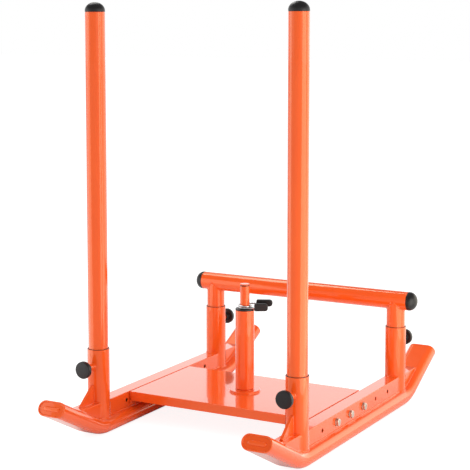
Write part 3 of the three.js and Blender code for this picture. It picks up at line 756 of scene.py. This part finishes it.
def gusset_solid():
    """The plate in front of a near socket, along its rail."""
    back, front, top = -SOCKET_RADIUS - GAP, -SOCKET_RADIUS - GUSSET_REACH, RAIL_TOP + GUSSET_HEIGHT
    outline = [
        (back, TUBE_BOTTOM), (back, top), (back - GUSSET_NOSE / 2, top),
        (front, TUBE_BOTTOM + GUSSET_NOSE), (front, TUBE_BOTTOM),
    ]
    return rounded_edges(prism(outline, -GUSSET_THICKNESS / 2, GUSSET_THICKNESS / 2, "X"), 0.6, segments=3)


def housing_solid():
    """A pin's barrel, closed round the stem at its outer end."""
    start, stop, shoulder = HOUSING_START, HOUSING_STOP, HOUSING_STOP - HOUSING_END
    small = STEM_RADIUS + PIN_CLEARANCE
    return ring([
        (HOUSING_BORE, start, 0), (HOUSING_RADIUS, start, 0), (HOUSING_RADIUS, stop, 1.2),
        (small, stop, 0.3), (small, shoulder, 0), (HOUSING_BORE, shoulder, 0),
    ], SMALL_SIDES)


def plunger_solid():
    """A pin: its nose, the collar that its spring presses on, and its stem."""
    nose = TUBE_RADIUS + GAP
    return spindle([
        (0, nose, 0), (NOSE_RADIUS, nose, 0.8), (NOSE_RADIUS, COLLAR_START, 0),
        (PIN_COLLAR_RADIUS, COLLAR_START, 0.4), (PIN_COLLAR_RADIUS, COLLAR_STOP, 0.4),
        (STEM_RADIUS, COLLAR_STOP, 0), (STEM_RADIUS, PIN_STOP, 0.5), (0, PIN_STOP, 0),
    ], SMALL_SIDES)


def knob_solid():
    """A round knob with a crowned face, and a skirt over the end of the pin's barrel."""
    start, stop, socket = KNOB_START, KNOB_START + KNOB_LENGTH, KNOB_START + KNOB_SOCKET
    bore = STEM_RADIUS + PIN_CLEARANCE
    skirt = SKIRT_BORE + SKIRT_WALL
    skirt_end = start - SKIRT_LENGTH
    return spindle([
        (0, socket, 0), (bore, socket, 0), (bore, start, 0.3), (SKIRT_BORE, start, 0),
        (SKIRT_BORE, skirt_end, 0.5), (skirt, skirt_end, 0.8), (skirt, start, 1),
        (KNOB_RADIUS, start, KNOB_EDGE), (KNOB_RADIUS, stop - KNOB_CROWN, KNOB_EDGE),
        (KNOB_RADIUS / 2, stop, 20), (0, stop, 0),
    ])


for side, sign in SIDE_SIGNS:
    for end, half_turn in END_TURNS:
        corner = shift(sign * TRACK / 2, 0, 0) @ turn(half_turn, "Z") @ shift(0, -WHEELBASE / 2, 0)
        pin = corner @ shift(0, 0, PIN_HEIGHT) @ turn(90, "X")
        pull_pin = f"pull_pin_{end}_{side}"
        for name, solid, spot, body, slot, replaced in (
            ("socket_tube", socket_solid(), corner, "frame", PAINT, [f"{end}_socket_{side}"]),
            # a black plastic lip that paints the shadow line at the socket's mouth
            ("glide_ring", shade_lip_solid(), corner, "frame", PLASTIC, []),
            ("pin_barrel", housing_solid(), pin, "frame", PAINT, [f"pin_housing_{end}_{side}"]),
            ("pin_shaft", plunger_solid(), pin, pull_pin, ZINC, [f"pin_plunger_{end}_{side}"]),
            ("pin_grip", knob_solid(), pin, pull_pin, PLASTIC, [f"pin_knob_{end}_{side}"]),
        ):
            piece(f"{name}_{end}_{side}", placed(solid, spot), body, slot, *replaced)
        mesh = grown(
            coil_form, bare_point(), "spring_steel", Radius=(HOUSING_BORE + STEM_RADIUS) / 2,
            Height=SPRING_STOP - SPRING_START, Turns=float(SPRING_TURNS), Wire=SPRING_WIRE / 2,
            Sides=SPRING_SIDES,
        )
        mesh.transform(pin @ shift(0, 0, SPRING_START))
        spring = piece(f"pin_coil_{end}_{side}", mesh, "frame", "spring_steel", f"pin_spring_{end}_{side}")
        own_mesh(spring)
    solid = placed(gusset_solid(), shift(sign * TRACK / 2, -WHEELBASE / 2, 0))
    piece(f"gusset_plate_{side}", solid, "frame", PAINT, f"gusset_{side}")


# Uprights and push bar

def cap_solid(seat):
    """A push-in dome cap on a tube's end: a short rim, then a dome, over a plug."""
    plug = TUBE_RADIUS - TUBE_WALL - GAP
    base = softened([
        (0, -CAP_PLUG, 0), (plug, -CAP_PLUG, 2), (plug, 0, 0),
        (TUBE_RADIUS, 0, 0.5), (TUBE_RADIUS, CAP_RIM, 0),
    ], closed=False)[:-1]
    for k in range(DOME_STEPS):
        angle = pi / 2 * k / DOME_STEPS
        base.append((TUBE_RADIUS * cos(angle), CAP_RIM + (CAP_DOME - CAP_RIM) * sin(angle)))
    return placed(turned([*base, (0, CAP_DOME)]), shift(0, 0, seat))


def stock_tube(low, high):
    return tube(TUBE_RADIUS, TUBE_RADIUS - TUBE_WALL, low, high)


for side, sign in SIDE_SIGNS:
    near = shift(sign * TRACK / 2, -WHEELBASE / 2, 0)
    far = shift(sign * TRACK / 2, WHEELBASE / 2, 0) @ turn(180, "Z")
    bar_end = shift(sign * (BAR_HALF + GAP), WHEELBASE / 2, BAR_HEIGHT) @ turn(90 * sign, "Y")
    upright = worked(stock_tube(TUBE_BOTTOM, POLE_TOP), pin_drill(TUBE_RADIUS))
    saddle = rod(TUBE_RADIUS + GAP, -2 * TUBE_RADIUS, 2 * TUBE_RADIUS, SIDES)
    saddle = placed(saddle, shift(0, 0, BAR_HEIGHT), turn(90, "Y"))
    leg = worked(stock_tube(TUBE_BOTTOM, BAR_HEIGHT), saddle, pin_drill(TUBE_RADIUS))
    for name, solid, spot, body, slot, replaced in (
        ("upright_tube", upright, near, f"upright_{side}", PAINT, "pole"),
        ("upright_dome", cap_solid(POLE_TOP + GAP), near, f"upright_{side}", PLASTIC, "pole_cap"),
        ("bar_leg", leg, far, "push_bar", PAINT, "crossbar_leg"),
        ("bar_dome", cap_solid(0), bar_end, "push_bar", PLASTIC, "crossbar_cap"),
    ):
        piece(f"{name}_{side}", placed(solid, spot), body, slot, f"{replaced}_{side}")

solid = placed(stock_tube(-BAR_HALF, BAR_HALF), shift(0, WHEELBASE / 2, BAR_HEIGHT), turn(90, "Y"))
piece("bar_tube", solid, "push_bar", PAINT, "crossbar")


# Base plate: a sheet folded down on all four sides

def plate_solid():
    low = RAIL_TOP - PLATE_SIDE_FLANGE

    def bent(edge):
        along_z = abs(edge.verts[0].co.z - edge.verts[1].co.z) > 1
        return along_z or min(vert.co.z for vert in edge.verts) > low + 1

    def tray(inset, top, radius, bottom):
        half_x, half_y = PLATE_HALF_X - inset, PLATE_HALF_Y - inset
        return rounded_edges(block((-half_x, -half_y, bottom), (half_x, half_y, top)), radius, bent)

    outside = tray(0, RAIL_TOP, PLATE_BEND, low)
    inside = tray(PLATE_THICKNESS, RAIL_TOP - PLATE_THICKNESS, 0.5, low - OVERRUN)
    inner = PLATE_HALF_X - PLATE_THICKNESS
    reach = PLATE_HALF_Y + OVERRUN
    short_ends = block((-inner, -reach, low - OVERRUN), (inner, reach, RAIL_TOP - PLATE_END_FLANGE))
    return worked(outside, inside, short_ends)


mesh = drilled(plate_solid(), PAINT, BOLT_COUNT, -HOLE_PITCH, 2 * PLATE_HALF_X)
mesh.transform(shift(0, PLATE_Y, 0))
piece("plate_tray", mesh, "frame", PAINT, "base_plate")


# Plate bolts and nuts, along +X from the rail's middle

def hexagon(low, high, both_ends):
    """A hexagon bar, its corners turned off at one end or both."""
    flat = BOLT_ACROSS / 2
    corner = flat / cos(pi / 6)
    bar = rod(corner, low - 1 if both_ends else low, high + 1, 6)
    tip = flat * HEX_FACE
    slope = (corner - tip) * tan(HEX_SLOPE) + 0.4
    wide = tip + slope / tan(HEX_SLOPE)
    ends = [(tip, low), (wide, low + slope)] if both_ends else [(wide, low - 1)]
    room = turned([(0, ends[0][1]), *ends, (wide, high - slope), (tip, high), (0, high)])
    return worked(bar, room, way="INTERSECT")


def bolt_solid():
    """A flanged hexagon bolt with its thread."""
    seat = RAIL_WIDTH / 2 + GAP
    top = seat + WASHER_THICKNESS
    inner, outer = BOLT_RADIUS, WASHER_RADIUS
    washer = ring([(inner, seat, 0), (outer, seat, 0.3), (outer, top, 0.3), (inner, top, 0)])
    thread = [(0, BOLT_END)]
    for i in range(THREAD_TURNS):
        thread.append((BOLT_RADIUS - THREAD_DEPTH, BOLT_END + THREAD_PITCH * i))
        thread.append((BOLT_RADIUS, BOLT_END + THREAD_PITCH * (i + 0.5)))
    shank = turned([*thread, (BOLT_RADIUS, top), (0, top)], SMALL_SIDES)
    return joined(shank, washer, hexagon(top, top + BOLT_HEAD, False))


def nut_solid():
    low, high = NUT_FACE - NUT_HEIGHT, NUT_FACE
    return worked(hexagon(low, high, True), rod(BOLT_RADIUS + GAP, low - OVERRUN, high + OVERRUN))


for side, sign in SIDE_SIGNS:
    for kind, solid in (("bolt", bolt_solid()), ("nut", nut_solid())):
        pattern = shown("pattern", placed(solid, turn(0 if sign > 0 else 180, "Z"), turn(90, "Y")))
        mesh = grown(
            row_form, bare_point(), ZINC, Fastener=pattern, Count=BOLT_COUNT,
            Start=(sign * TRACK / 2, FIRST_BOLT_Y, BOLT_HEIGHT), Pitch=(0, HOLE_PITCH, 0),
        )
        bpy.data.objects.remove(pattern)
        replaced = [f"plate_{kind}_{side}_{i + 1}" for i in range(BOLT_COUNT)]
        piece(f"{kind}_row_{side}", mesh, "frame", ZINC, *replaced)


# Weight post with a ring in its groove, its flange, and the loading sleeve with its ring

post_place = shift(0, PLATE_Y, 0)
bore = POST_RADIUS + SLEEVE_FIT
plug = SLEEVE_BORE - SLEEVE_FIT
shoulder = SLEEVE_RADIUS + SLEEVE_FIT
spigot = SLEEVE_SEAT + FLANGE_SPIGOT
flange = ring([
    (bore, TUBE_BOTTOM, 0), (FLANGE_RADIUS, TUBE_BOTTOM, 0.3), (FLANGE_RADIUS, FLANGE_TOP, 1.2),
    (shoulder, FLANGE_TOP, 0), (shoulder, SLEEVE_SEAT, 0.3), (plug, SLEEVE_SEAT, 0), (plug, spigot, 0.5),
    (bore, spigot, 0),
])
groove = POST_RADIUS - GROOVE_DEPTH
floor_half, mouth_half = GROOVE_HALF
low, high = GROOVE_HEIGHT - floor_half, GROOVE_HEIGHT + floor_half
post = spindle([
    (0, TUBE_BOTTOM, 0), (POST_RADIUS, TUBE_BOTTOM, 0), (POST_RADIUS, GROOVE_HEIGHT - mouth_half, 0.2),
    (groove, low, 0), (groove, high, 0), (POST_RADIUS, GROOVE_HEIGHT + mouth_half, 0.2),
    (POST_RADIUS, POST_TOP - POST_CHAMFER, 0.4), (POST_RADIUS - POST_CHAMFER, POST_TOP, 0.4),
    (0, POST_TOP, 0),
])
inner, outer = groove + 0.1, POST_RADIUS - 0.1
post_ring = ring([(inner, low, 0), (outer, low, 0.4), (outer, high, 0.4), (inner, high, 0)])
foot = SLEEVE_SEAT + GAP
in_by, up_by = SLEEVE_FOOT
sleeve = ring([
    (SLEEVE_BORE, foot, 0), (SLEEVE_RADIUS - in_by, foot, 0.2), (SLEEVE_RADIUS, foot + up_by, 0.3),
    (SLEEVE_RADIUS, SLEEVE_TOP, 0.6), (SLEEVE_BORE, SLEEVE_TOP, 0.6),
])
seat = SLEEVE_TOP + GAP
liner = ring([
    (bore, seat - RING_PLUG, 0), (plug, seat - RING_PLUG, 1), (plug, seat, 0), (SLEEVE_RADIUS, seat, 0.3),
    (SLEEVE_RADIUS, RING_TOP, 0.9), (bore, RING_TOP, 0.5),
])
for name, solid, body, slot, replaced in (
    ("post_foot", flange, "frame", PAINT, ["post_flange"]),
    ("post_bar", post, "frame", PAINT, ["weight_post"]),
    ("post_ring", post_ring, "frame", PLASTIC, []),
    ("sleeve_tube", sleeve, "loading_sleeve", PAINT, ["weight_sleeve"]),
    ("sleeve_liner", liner, "loading_sleeve", PLASTIC, ["sleeve_ring"]),
):
    piece(name, placed(solid, post_place), body, slot, *replaced)


# Spring collar: one wire, wound clockwise as it rises, with a lever at each end. It is made in two lengths,
# which meet in the coil.

def grip_solid(before, past, above):
    """A moulded finger grip along +X, longer at its two ends and taller by so much."""
    low, high = -GRIP_HEIGHT / 2, GRIP_HEIGHT / 2 + above
    inner, outer = GRIP_CORNERS
    start, stop = -before, GRIP_LENGTH + past
    outline = softened([(start, low, inner), (stop, low, outer), (stop, high, outer), (start, high, inner)])
    solid = rounded_edges(prism(outline, -GRIP_WIDTH / 2, GRIP_WIDTH / 2, "Y"), GRIP_EDGE)
    bore = placed(rod(WIRE_RADIUS + GAP, -OVERRUN, GRIP_BORE), shift(0, 0, -GRIP_RISE), turn(90, "Y"))
    return placed(worked(solid, bore), shift(GRIP_START, 0, GRIP_RISE))


coil_low = RING_TOP + GAP + WIRE_RADIUS
angle_from = LOWER_ANGLE - pi / 2
angle_to = UPPER_ANGLE + pi / 2 - 4 * pi
coil_rise = COIL_PITCH * (angle_from - angle_to) / (2 * pi)
coil = []
for i in range(COIL_STEPS + 1):
    angle = angle_from + (angle_to - angle_from) * i / COIL_STEPS
    height = coil_low + coil_rise * i / COIL_STEPS
    coil.append(around(COIL_RADIUS, angle, height))
lower_wire = [coil[0] + around(1, LOWER_ANGLE) * LEVER_LENGTH, *coil[:COIL_SPLIT + 1]]
upper_wire = [*coil[COIL_SPLIT:], coil[-1] + around(1, UPPER_ANGLE) * (LEVER_LENGTH + UPPER_EXTRA)]
for name, points, angle in (("lower", lower_wire, LOWER_ANGLE), ("upper", upper_wire, UPPER_ANGLE)):
    mesh = grown(wire_form, polyline((points, False)), "chrome_wire", Radius=WIRE_RADIUS, Sides=WIRE_SIDES)
    mesh.transform(post_place)
    bend = [tuple((post_place.translation + around(1, angle) * away) * MM) for away in LEVER_BEND]
    piece(f"collar_wire_{name}", mesh, ("collar", f"{name}_lever", *bend), "chrome_wire", "collar_coil")

for name, angle, grip_place, growth in (
    ("lower", LOWER_ANGLE, (0, -COIL_RADIUS, coil_low), LOWER_GROWTH),
    ("upper", UPPER_ANGLE, (UPPER_EXTRA, COIL_RADIUS, coil_low + coil_rise), UPPER_GROWTH),
):
    solid = placed(grip_solid(*growth), post_place, Matrix.Rotation(angle, 4, "Z"), shift(*grip_place))
    piece(f"lever_grip_{name}", solid, f"{name}_lever", PLASTIC, f"collar_grip_{name}")


# Weld beads, under the same coat. Each seam is its points and whether it closes.

def rail_seam(x, side):
    """Along one side of a rail's foot, on the ski."""
    count = 60
    places = [-RAIL_HALF + 2 * RAIL_HALF * i / count for i in range(count + 1)]
    beside = x + side * (RAIL_WIDTH / 2 + BEAD_LIFT)
    return [Vector((beside, y, ski_top(y) + BEAD_LIFT)) for y in places], False


def socket_seams(x, y):
    """Round a socket: over the rail at both sides, and along the ski under both ears."""
    open_angle = acos((RAIL_WIDTH / 2 + GAP) / SOCKET_RADIUS)
    side_reach = SKI_WIDTH / 2 - SKI_HEIGHT / 2
    count = 30
    seams = []
    for quarter in (1, 3, 0, 2):
        over_rail = quarter % 2
        half_sweep = pi / 2 - open_angle if over_rail else open_angle
        points = []
        for i in range(count + 1):
            angle = pi / 2 * quarter + half_sweep * (2 * i / count - 1)
            px, py = SOCKET_RADIUS * cos(angle), SOCKET_RADIUS * sin(angle)
            drop = SKI_HEIGHT / 2 - sqrt((SKI_HEIGHT / 2) ** 2 - max(abs(px) - side_reach, 0) ** 2)
            height = TUBE_BOTTOM if over_rail else ski_top(y + py) - drop
            points.append(Vector((x + px, y + py, height)))
        seams.append((points, False))
    return seams


def ear_weld(x, y, side, end):
    """The ground weld between a rail's side and a socket's ear, hollow, running out at its top."""
    rail = RAIL_WIDTH / 2
    in_rail, in_ear = EAR_WELD_SINK
    rings = []
    for height, hollow in EAR_WELD:
        out = sqrt((SOCKET_RADIUS + hollow) ** 2 - (rail + hollow) ** 2)
        sweep = atan2(out, rail + hollow)  # from the rail's side to where it runs into the ear
        outline = []
        for k in range(EAR_WELD_STEPS + 1):
            angle = pi - sweep * k / EAR_WELD_STEPS
            outline.append((rail + hollow + hollow * cos(angle), out - hollow * sin(angle)))
        ear = Vector(outline[-1]) * ((SOCKET_RADIUS - in_ear) / SOCKET_RADIUS)
        outline += [tuple(ear), (rail - in_rail, rail - 0.5), (rail - in_rail, out)]
        rings.append([Vector((x + side * a, y + end * b, height)) for a, b in outline])
    return loft(rings)


def barrel_seam(x, y, sign):
    """Round a pin barrel's foot, on the socket."""
    points = []
    for angle in full_turn(40):
        px, pz = HOUSING_RADIUS * cos(angle), HOUSING_RADIUS * sin(angle)
        points.append(Vector((x + px, y + sign * sqrt(SOCKET_RADIUS ** 2 - px ** 2), PIN_HEIGHT + pz)))
    return points, True


def gusset_seam(x, side):
    """Down the socket and out along the rail, on one side of a gusset."""
    at = x + side * GUSSET_THICKNESS / 2
    y = -WHEELBASE / 2 - SOCKET_RADIUS
    places = ((y, RAIL_TOP + GUSSET_HEIGHT), (y, RAIL_TOP), (y - GUSSET_REACH, RAIL_TOP))
    return [Vector((at, *place)) for place in places], False


def saddle_seam(x):
    """Round a leg, where it meets the push bar."""
    circle = [around(TUBE_RADIUS, angle) for angle in full_turn(SIDES)]
    return [Vector((x + p.x, WHEELBASE / 2 + p.y, BAR_HEIGHT - abs(p.x))) for p in circle], True


frame_seams, bar_seams, ears = [], [], []
for sign in (-1, 1):
    x = sign * TRACK / 2
    frame_seams += [rail_seam(x, -1), rail_seam(x, 1), gusset_seam(x, -1), gusset_seam(x, 1)]
    for end in (-1, 1):
        y = end * WHEELBASE / 2
        frame_seams += [*socket_seams(x, y), barrel_seam(x, y, end)]
        ears += [ear_weld(x, y, ear_side, ear_end) for ear_side in (-1, 1) for ear_end in (-1, 1)]
    bar_seams.append(saddle_seam(x))
piece("ear_welds", joined(*ears), "frame", PAINT)
flange_seam = [post_place @ around(FLANGE_RADIUS, angle, RAIL_TOP) for angle in full_turn(60)]
frame_seams.append((flange_seam, True))

for name, body, seams in (("frame_welds", "frame", frame_seams), ("bar_welds", "push_bar", bar_seams)):
    mesh = grown(
        bead_form, polyline(*seams), PAINT, Radius=BEAD, Ripple=BEAD_RIPPLE, Depth=BEAD_DEPTH,
        Step=BEAD_STEP, Sides=BEAD_SIDES,
    )
    piece(name, mesh, body, PAINT)


# Studio: a white floor and world, and soft lamps

VIEW_TURN = 28.9  # the camera's place round the sled, in degrees
WORLD_LEVEL = 0.77
DARK_FROM_VIEW = -20  # middle of the studio's dark side, in degrees to the right of the camera
DARK_RISE = 20
DARK_LEVEL, CEILING_LEVEL = 0.5, 0.2  # what the gloss shows of it and of the ceiling
DARK_EDGE, DARK_CORE = cos(radians(50)), cos(radians(30))
WHITE_RISE, CEILING_RISE = sin(radians(19)), sin(radians(30))
FLOOR_HALF = 30  # metres
FLOOR_GLOW = 0.88
FLOOR_DARK_LEVEL = 0.62
FLOOR_WHITE, FLOOR_DARK = 0.3, 0.6  # metres from the sled's middle
WHITE = srgb(0xFFFFFF)


def ramp(tree, value, *limits):
    """A soft step: the value's two limits, and what it gives at each."""
    inputs = dict(zip(("Value", "From Min", "From Max", "To Min", "To Max"), (value, *limits)))
    return add(tree, "ShaderNodeMapRange", inputs, interpolation_type="SMOOTHSTEP")


def lit_side(tree, direction):
    """1 in the white part of the studio and 0 on its dark side, for a direction from the sled."""
    bearing, rise = radians(VIEW_TURN + DARK_FROM_VIEW), radians(DARK_RISE)
    dark = (sin(bearing) * cos(rise), -cos(bearing) * cos(rise), sin(rise))
    towards = add(tree, "ShaderNodeVectorMath", {0: direction, 1: dark}, operation="DOT_PRODUCT")
    return ramp(tree, towards.outputs["Value"], DARK_EDGE, DARK_CORE, 1, 0)


# The world is white to the camera. The gloss also finds its dark side, round the camera, and its ceiling.
scene = bpy.context.scene
world = bpy.data.worlds.new("white_studio")
world.use_nodes = True
scene.world = world
tree = world.node_tree
tree.nodes.clear()
direction = add(tree, "ShaderNodeTexCoord").outputs["Generated"]
rise = add(tree, "ShaderNodeSeparateXYZ", {0: direction}).outputs["Z"]
ray = add(tree, "ShaderNodeLightPath").outputs
bright = calc(tree, "MULTIPLY", lit_side(tree, direction), ramp(tree, rise, WHITE_RISE, CEILING_RISE, 1, 0))
bright = calc(tree, "MAXIMUM", bright, ray["Is Camera Ray"])
dim = ramp(tree, rise, WHITE_RISE, CEILING_RISE, DARK_LEVEL, CEILING_LEVEL)
level = add(tree, "ShaderNodeMix", {0: bright, 2: dim, 3: 1})
white = add(tree, "ShaderNodeBackground", {"Color": WHITE, "Strength": level})
plain = add(tree, "ShaderNodeBackground", {"Color": WHITE, "Strength": WORLD_LEVEL})
seen = calc(tree, "MAXIMUM", ray["Is Camera Ray"], ray["Is Glossy Ray"])
seen = calc(tree, "MAXIMUM", seen, ray["Is Transmission Ray"])
mixed = add(tree, "ShaderNodeMixShader", {0: seen, 1: plain, 2: white})
add(tree, "ShaderNodeOutputWorld", {"Surface": mixed})

# Seamless white paper. Where the camera sees it, it glows towards white and keeps a faint shadow. In the
# gloss, the part well in front of the sled lies in the dark side.
paper = bpy.data.materials.new("studio_paper_white")
paper.use_nodes = True
tree = paper.node_tree
tree.nodes.clear()
place = add(tree, "ShaderNodeNewGeometry").outputs["Position"]
direction = add(tree, "ShaderNodeVectorMath", {0: place}, operation="NORMALIZE")
distance = add(tree, "ShaderNodeVectorMath", {0: place}, operation="LENGTH").outputs["Value"]
ray = add(tree, "ShaderNodeLightPath").outputs
dim = calc(tree, "SUBTRACT", 1, lit_side(tree, direction))
dim = calc(tree, "MULTIPLY", dim, ramp(tree, distance, FLOOR_WHITE, FLOOR_DARK, 0, 1))
dim = calc(tree, "MULTIPLY", dim, ray["Is Glossy Ray"])
matt = add(tree, "ShaderNodeBsdfDiffuse", {"Color": srgb(0xF4F4F4)})
dark = add(tree, "ShaderNodeEmission", {"Color": WHITE, "Strength": FLOOR_DARK_LEVEL})
lit = add(tree, "ShaderNodeMixShader", {0: dim, 1: matt, 2: dark})
soft = add(tree, "ShaderNodeBsdfDiffuse", {"Color": srgb(0xA8A8A8)})
glow = add(tree, "ShaderNodeEmission", {"Color": WHITE, "Strength": FLOOR_GLOW})
seen = add(tree, "ShaderNodeAddShader", {0: soft, 1: glow})
either = calc(tree, "MAXIMUM", ray["Is Camera Ray"], ray["Is Transmission Ray"])
mixed = add(tree, "ShaderNodeMixShader", {0: either, 1: lit, 2: seen})
add(tree, "ShaderNodeOutputMaterial", {"Surface": mixed})
corners = [(a * FLOOR_HALF, b * FLOOR_HALF, 0) for a, b in ((-1, -1), (1, -1), (1, 1), (-1, 1))]
mesh = bpy.data.meshes.new("studio_floor")
mesh.from_pydata(corners, [], [(0, 1, 2, 3)])
mesh.materials.append(paper)
floor = in_scene("studio_floor", mesh)


def area_lamp(name, size, location, rotation, radiance, tone):
    """A soft lamp that the camera doesn't see. Sizes and places are metres."""
    lamp = bpy.data.lights.new(name, "AREA")
    lamp.shape = "RECTANGLE"
    lamp.size, lamp.size_y = size
    lamp.energy = radiance * pi * lamp.size * lamp.size_y
    lamp.color = tone
    made = in_scene(name, lamp)
    made.location = location
    made.rotation_euler = rotation
    made.visible_camera = False


# Lamps that lean back from the sled. Each has its place in degrees to the right of the camera, its foot's and
# head's distance, its width, its foot's and head's height, its radiance and its tone.
for name, from_view, (near, far), width, (low, high), radiance, tone in (
    ("strip_right", 48, (0.95, 1.8), 1.1, (0.02, 1.3), 1.9, (1, 0.96, 0.84)),
    ("strip_low", 55, (0.6, 1.05), 0.5, (0.01, 0.03), 1.1, (1, 0.94, 0.8)),
    ("panel_right", 108, (1.1, 1.8), 1.6, (0.02, 1.2), 0.85, (1, 0.92, 0.66)),
    ("panel_left", -84, (0.95, 1.7), 0.9, (0.02, 1.2), 1, (1, 1, 1)),
    ("panel_back", 180, (3, 3.2), 6, (0.1, 1.8), 0.2, (1, 1, 1)),
):
    bearing = radians(VIEW_TURN + from_view)
    middle = (near + far) / 2
    location = (middle * sin(bearing), -middle * cos(bearing), (low + high) / 2)
    rotation = (radians(90) + atan2(far - near, high - low), 0, bearing)
    area_lamp(name, (width, hypot(far - near, high - low)), location, rotation, radiance, tone)

# Lamps overhead, turned to the plate
for name, location, size, radiance, tone in (
    ("overhead", (-1.2, 0.75, 2.6), (1.4, 0.7), 3.8, (1, 1, 1)),
    ("overhead_far", (-1.75, 1.55, 2.6), (0.9, 0.8), 1.2, (1, 0.95, 0.7)),
):
    rotation = (Vector(location) - Vector((0, 0, 0.2))).to_track_quat("Z", "Y").to_euler()
    area_lamp(name, size, location, rotation, radiance, tone)

camera = bpy.data.cameras.new("view")
camera.lens = 106.418
camera.sensor_width = 36
camera.shift_y = -0.1473
camera.clip_end = 200
viewer = in_scene("view", camera)
viewer.location = (1.71536, -3.20207, 1.05833)
viewer.rotation_euler = (radians(84), 0, radians(VIEW_TURN))
scene.camera = viewer
scene.view_settings.view_transform = "Standard"
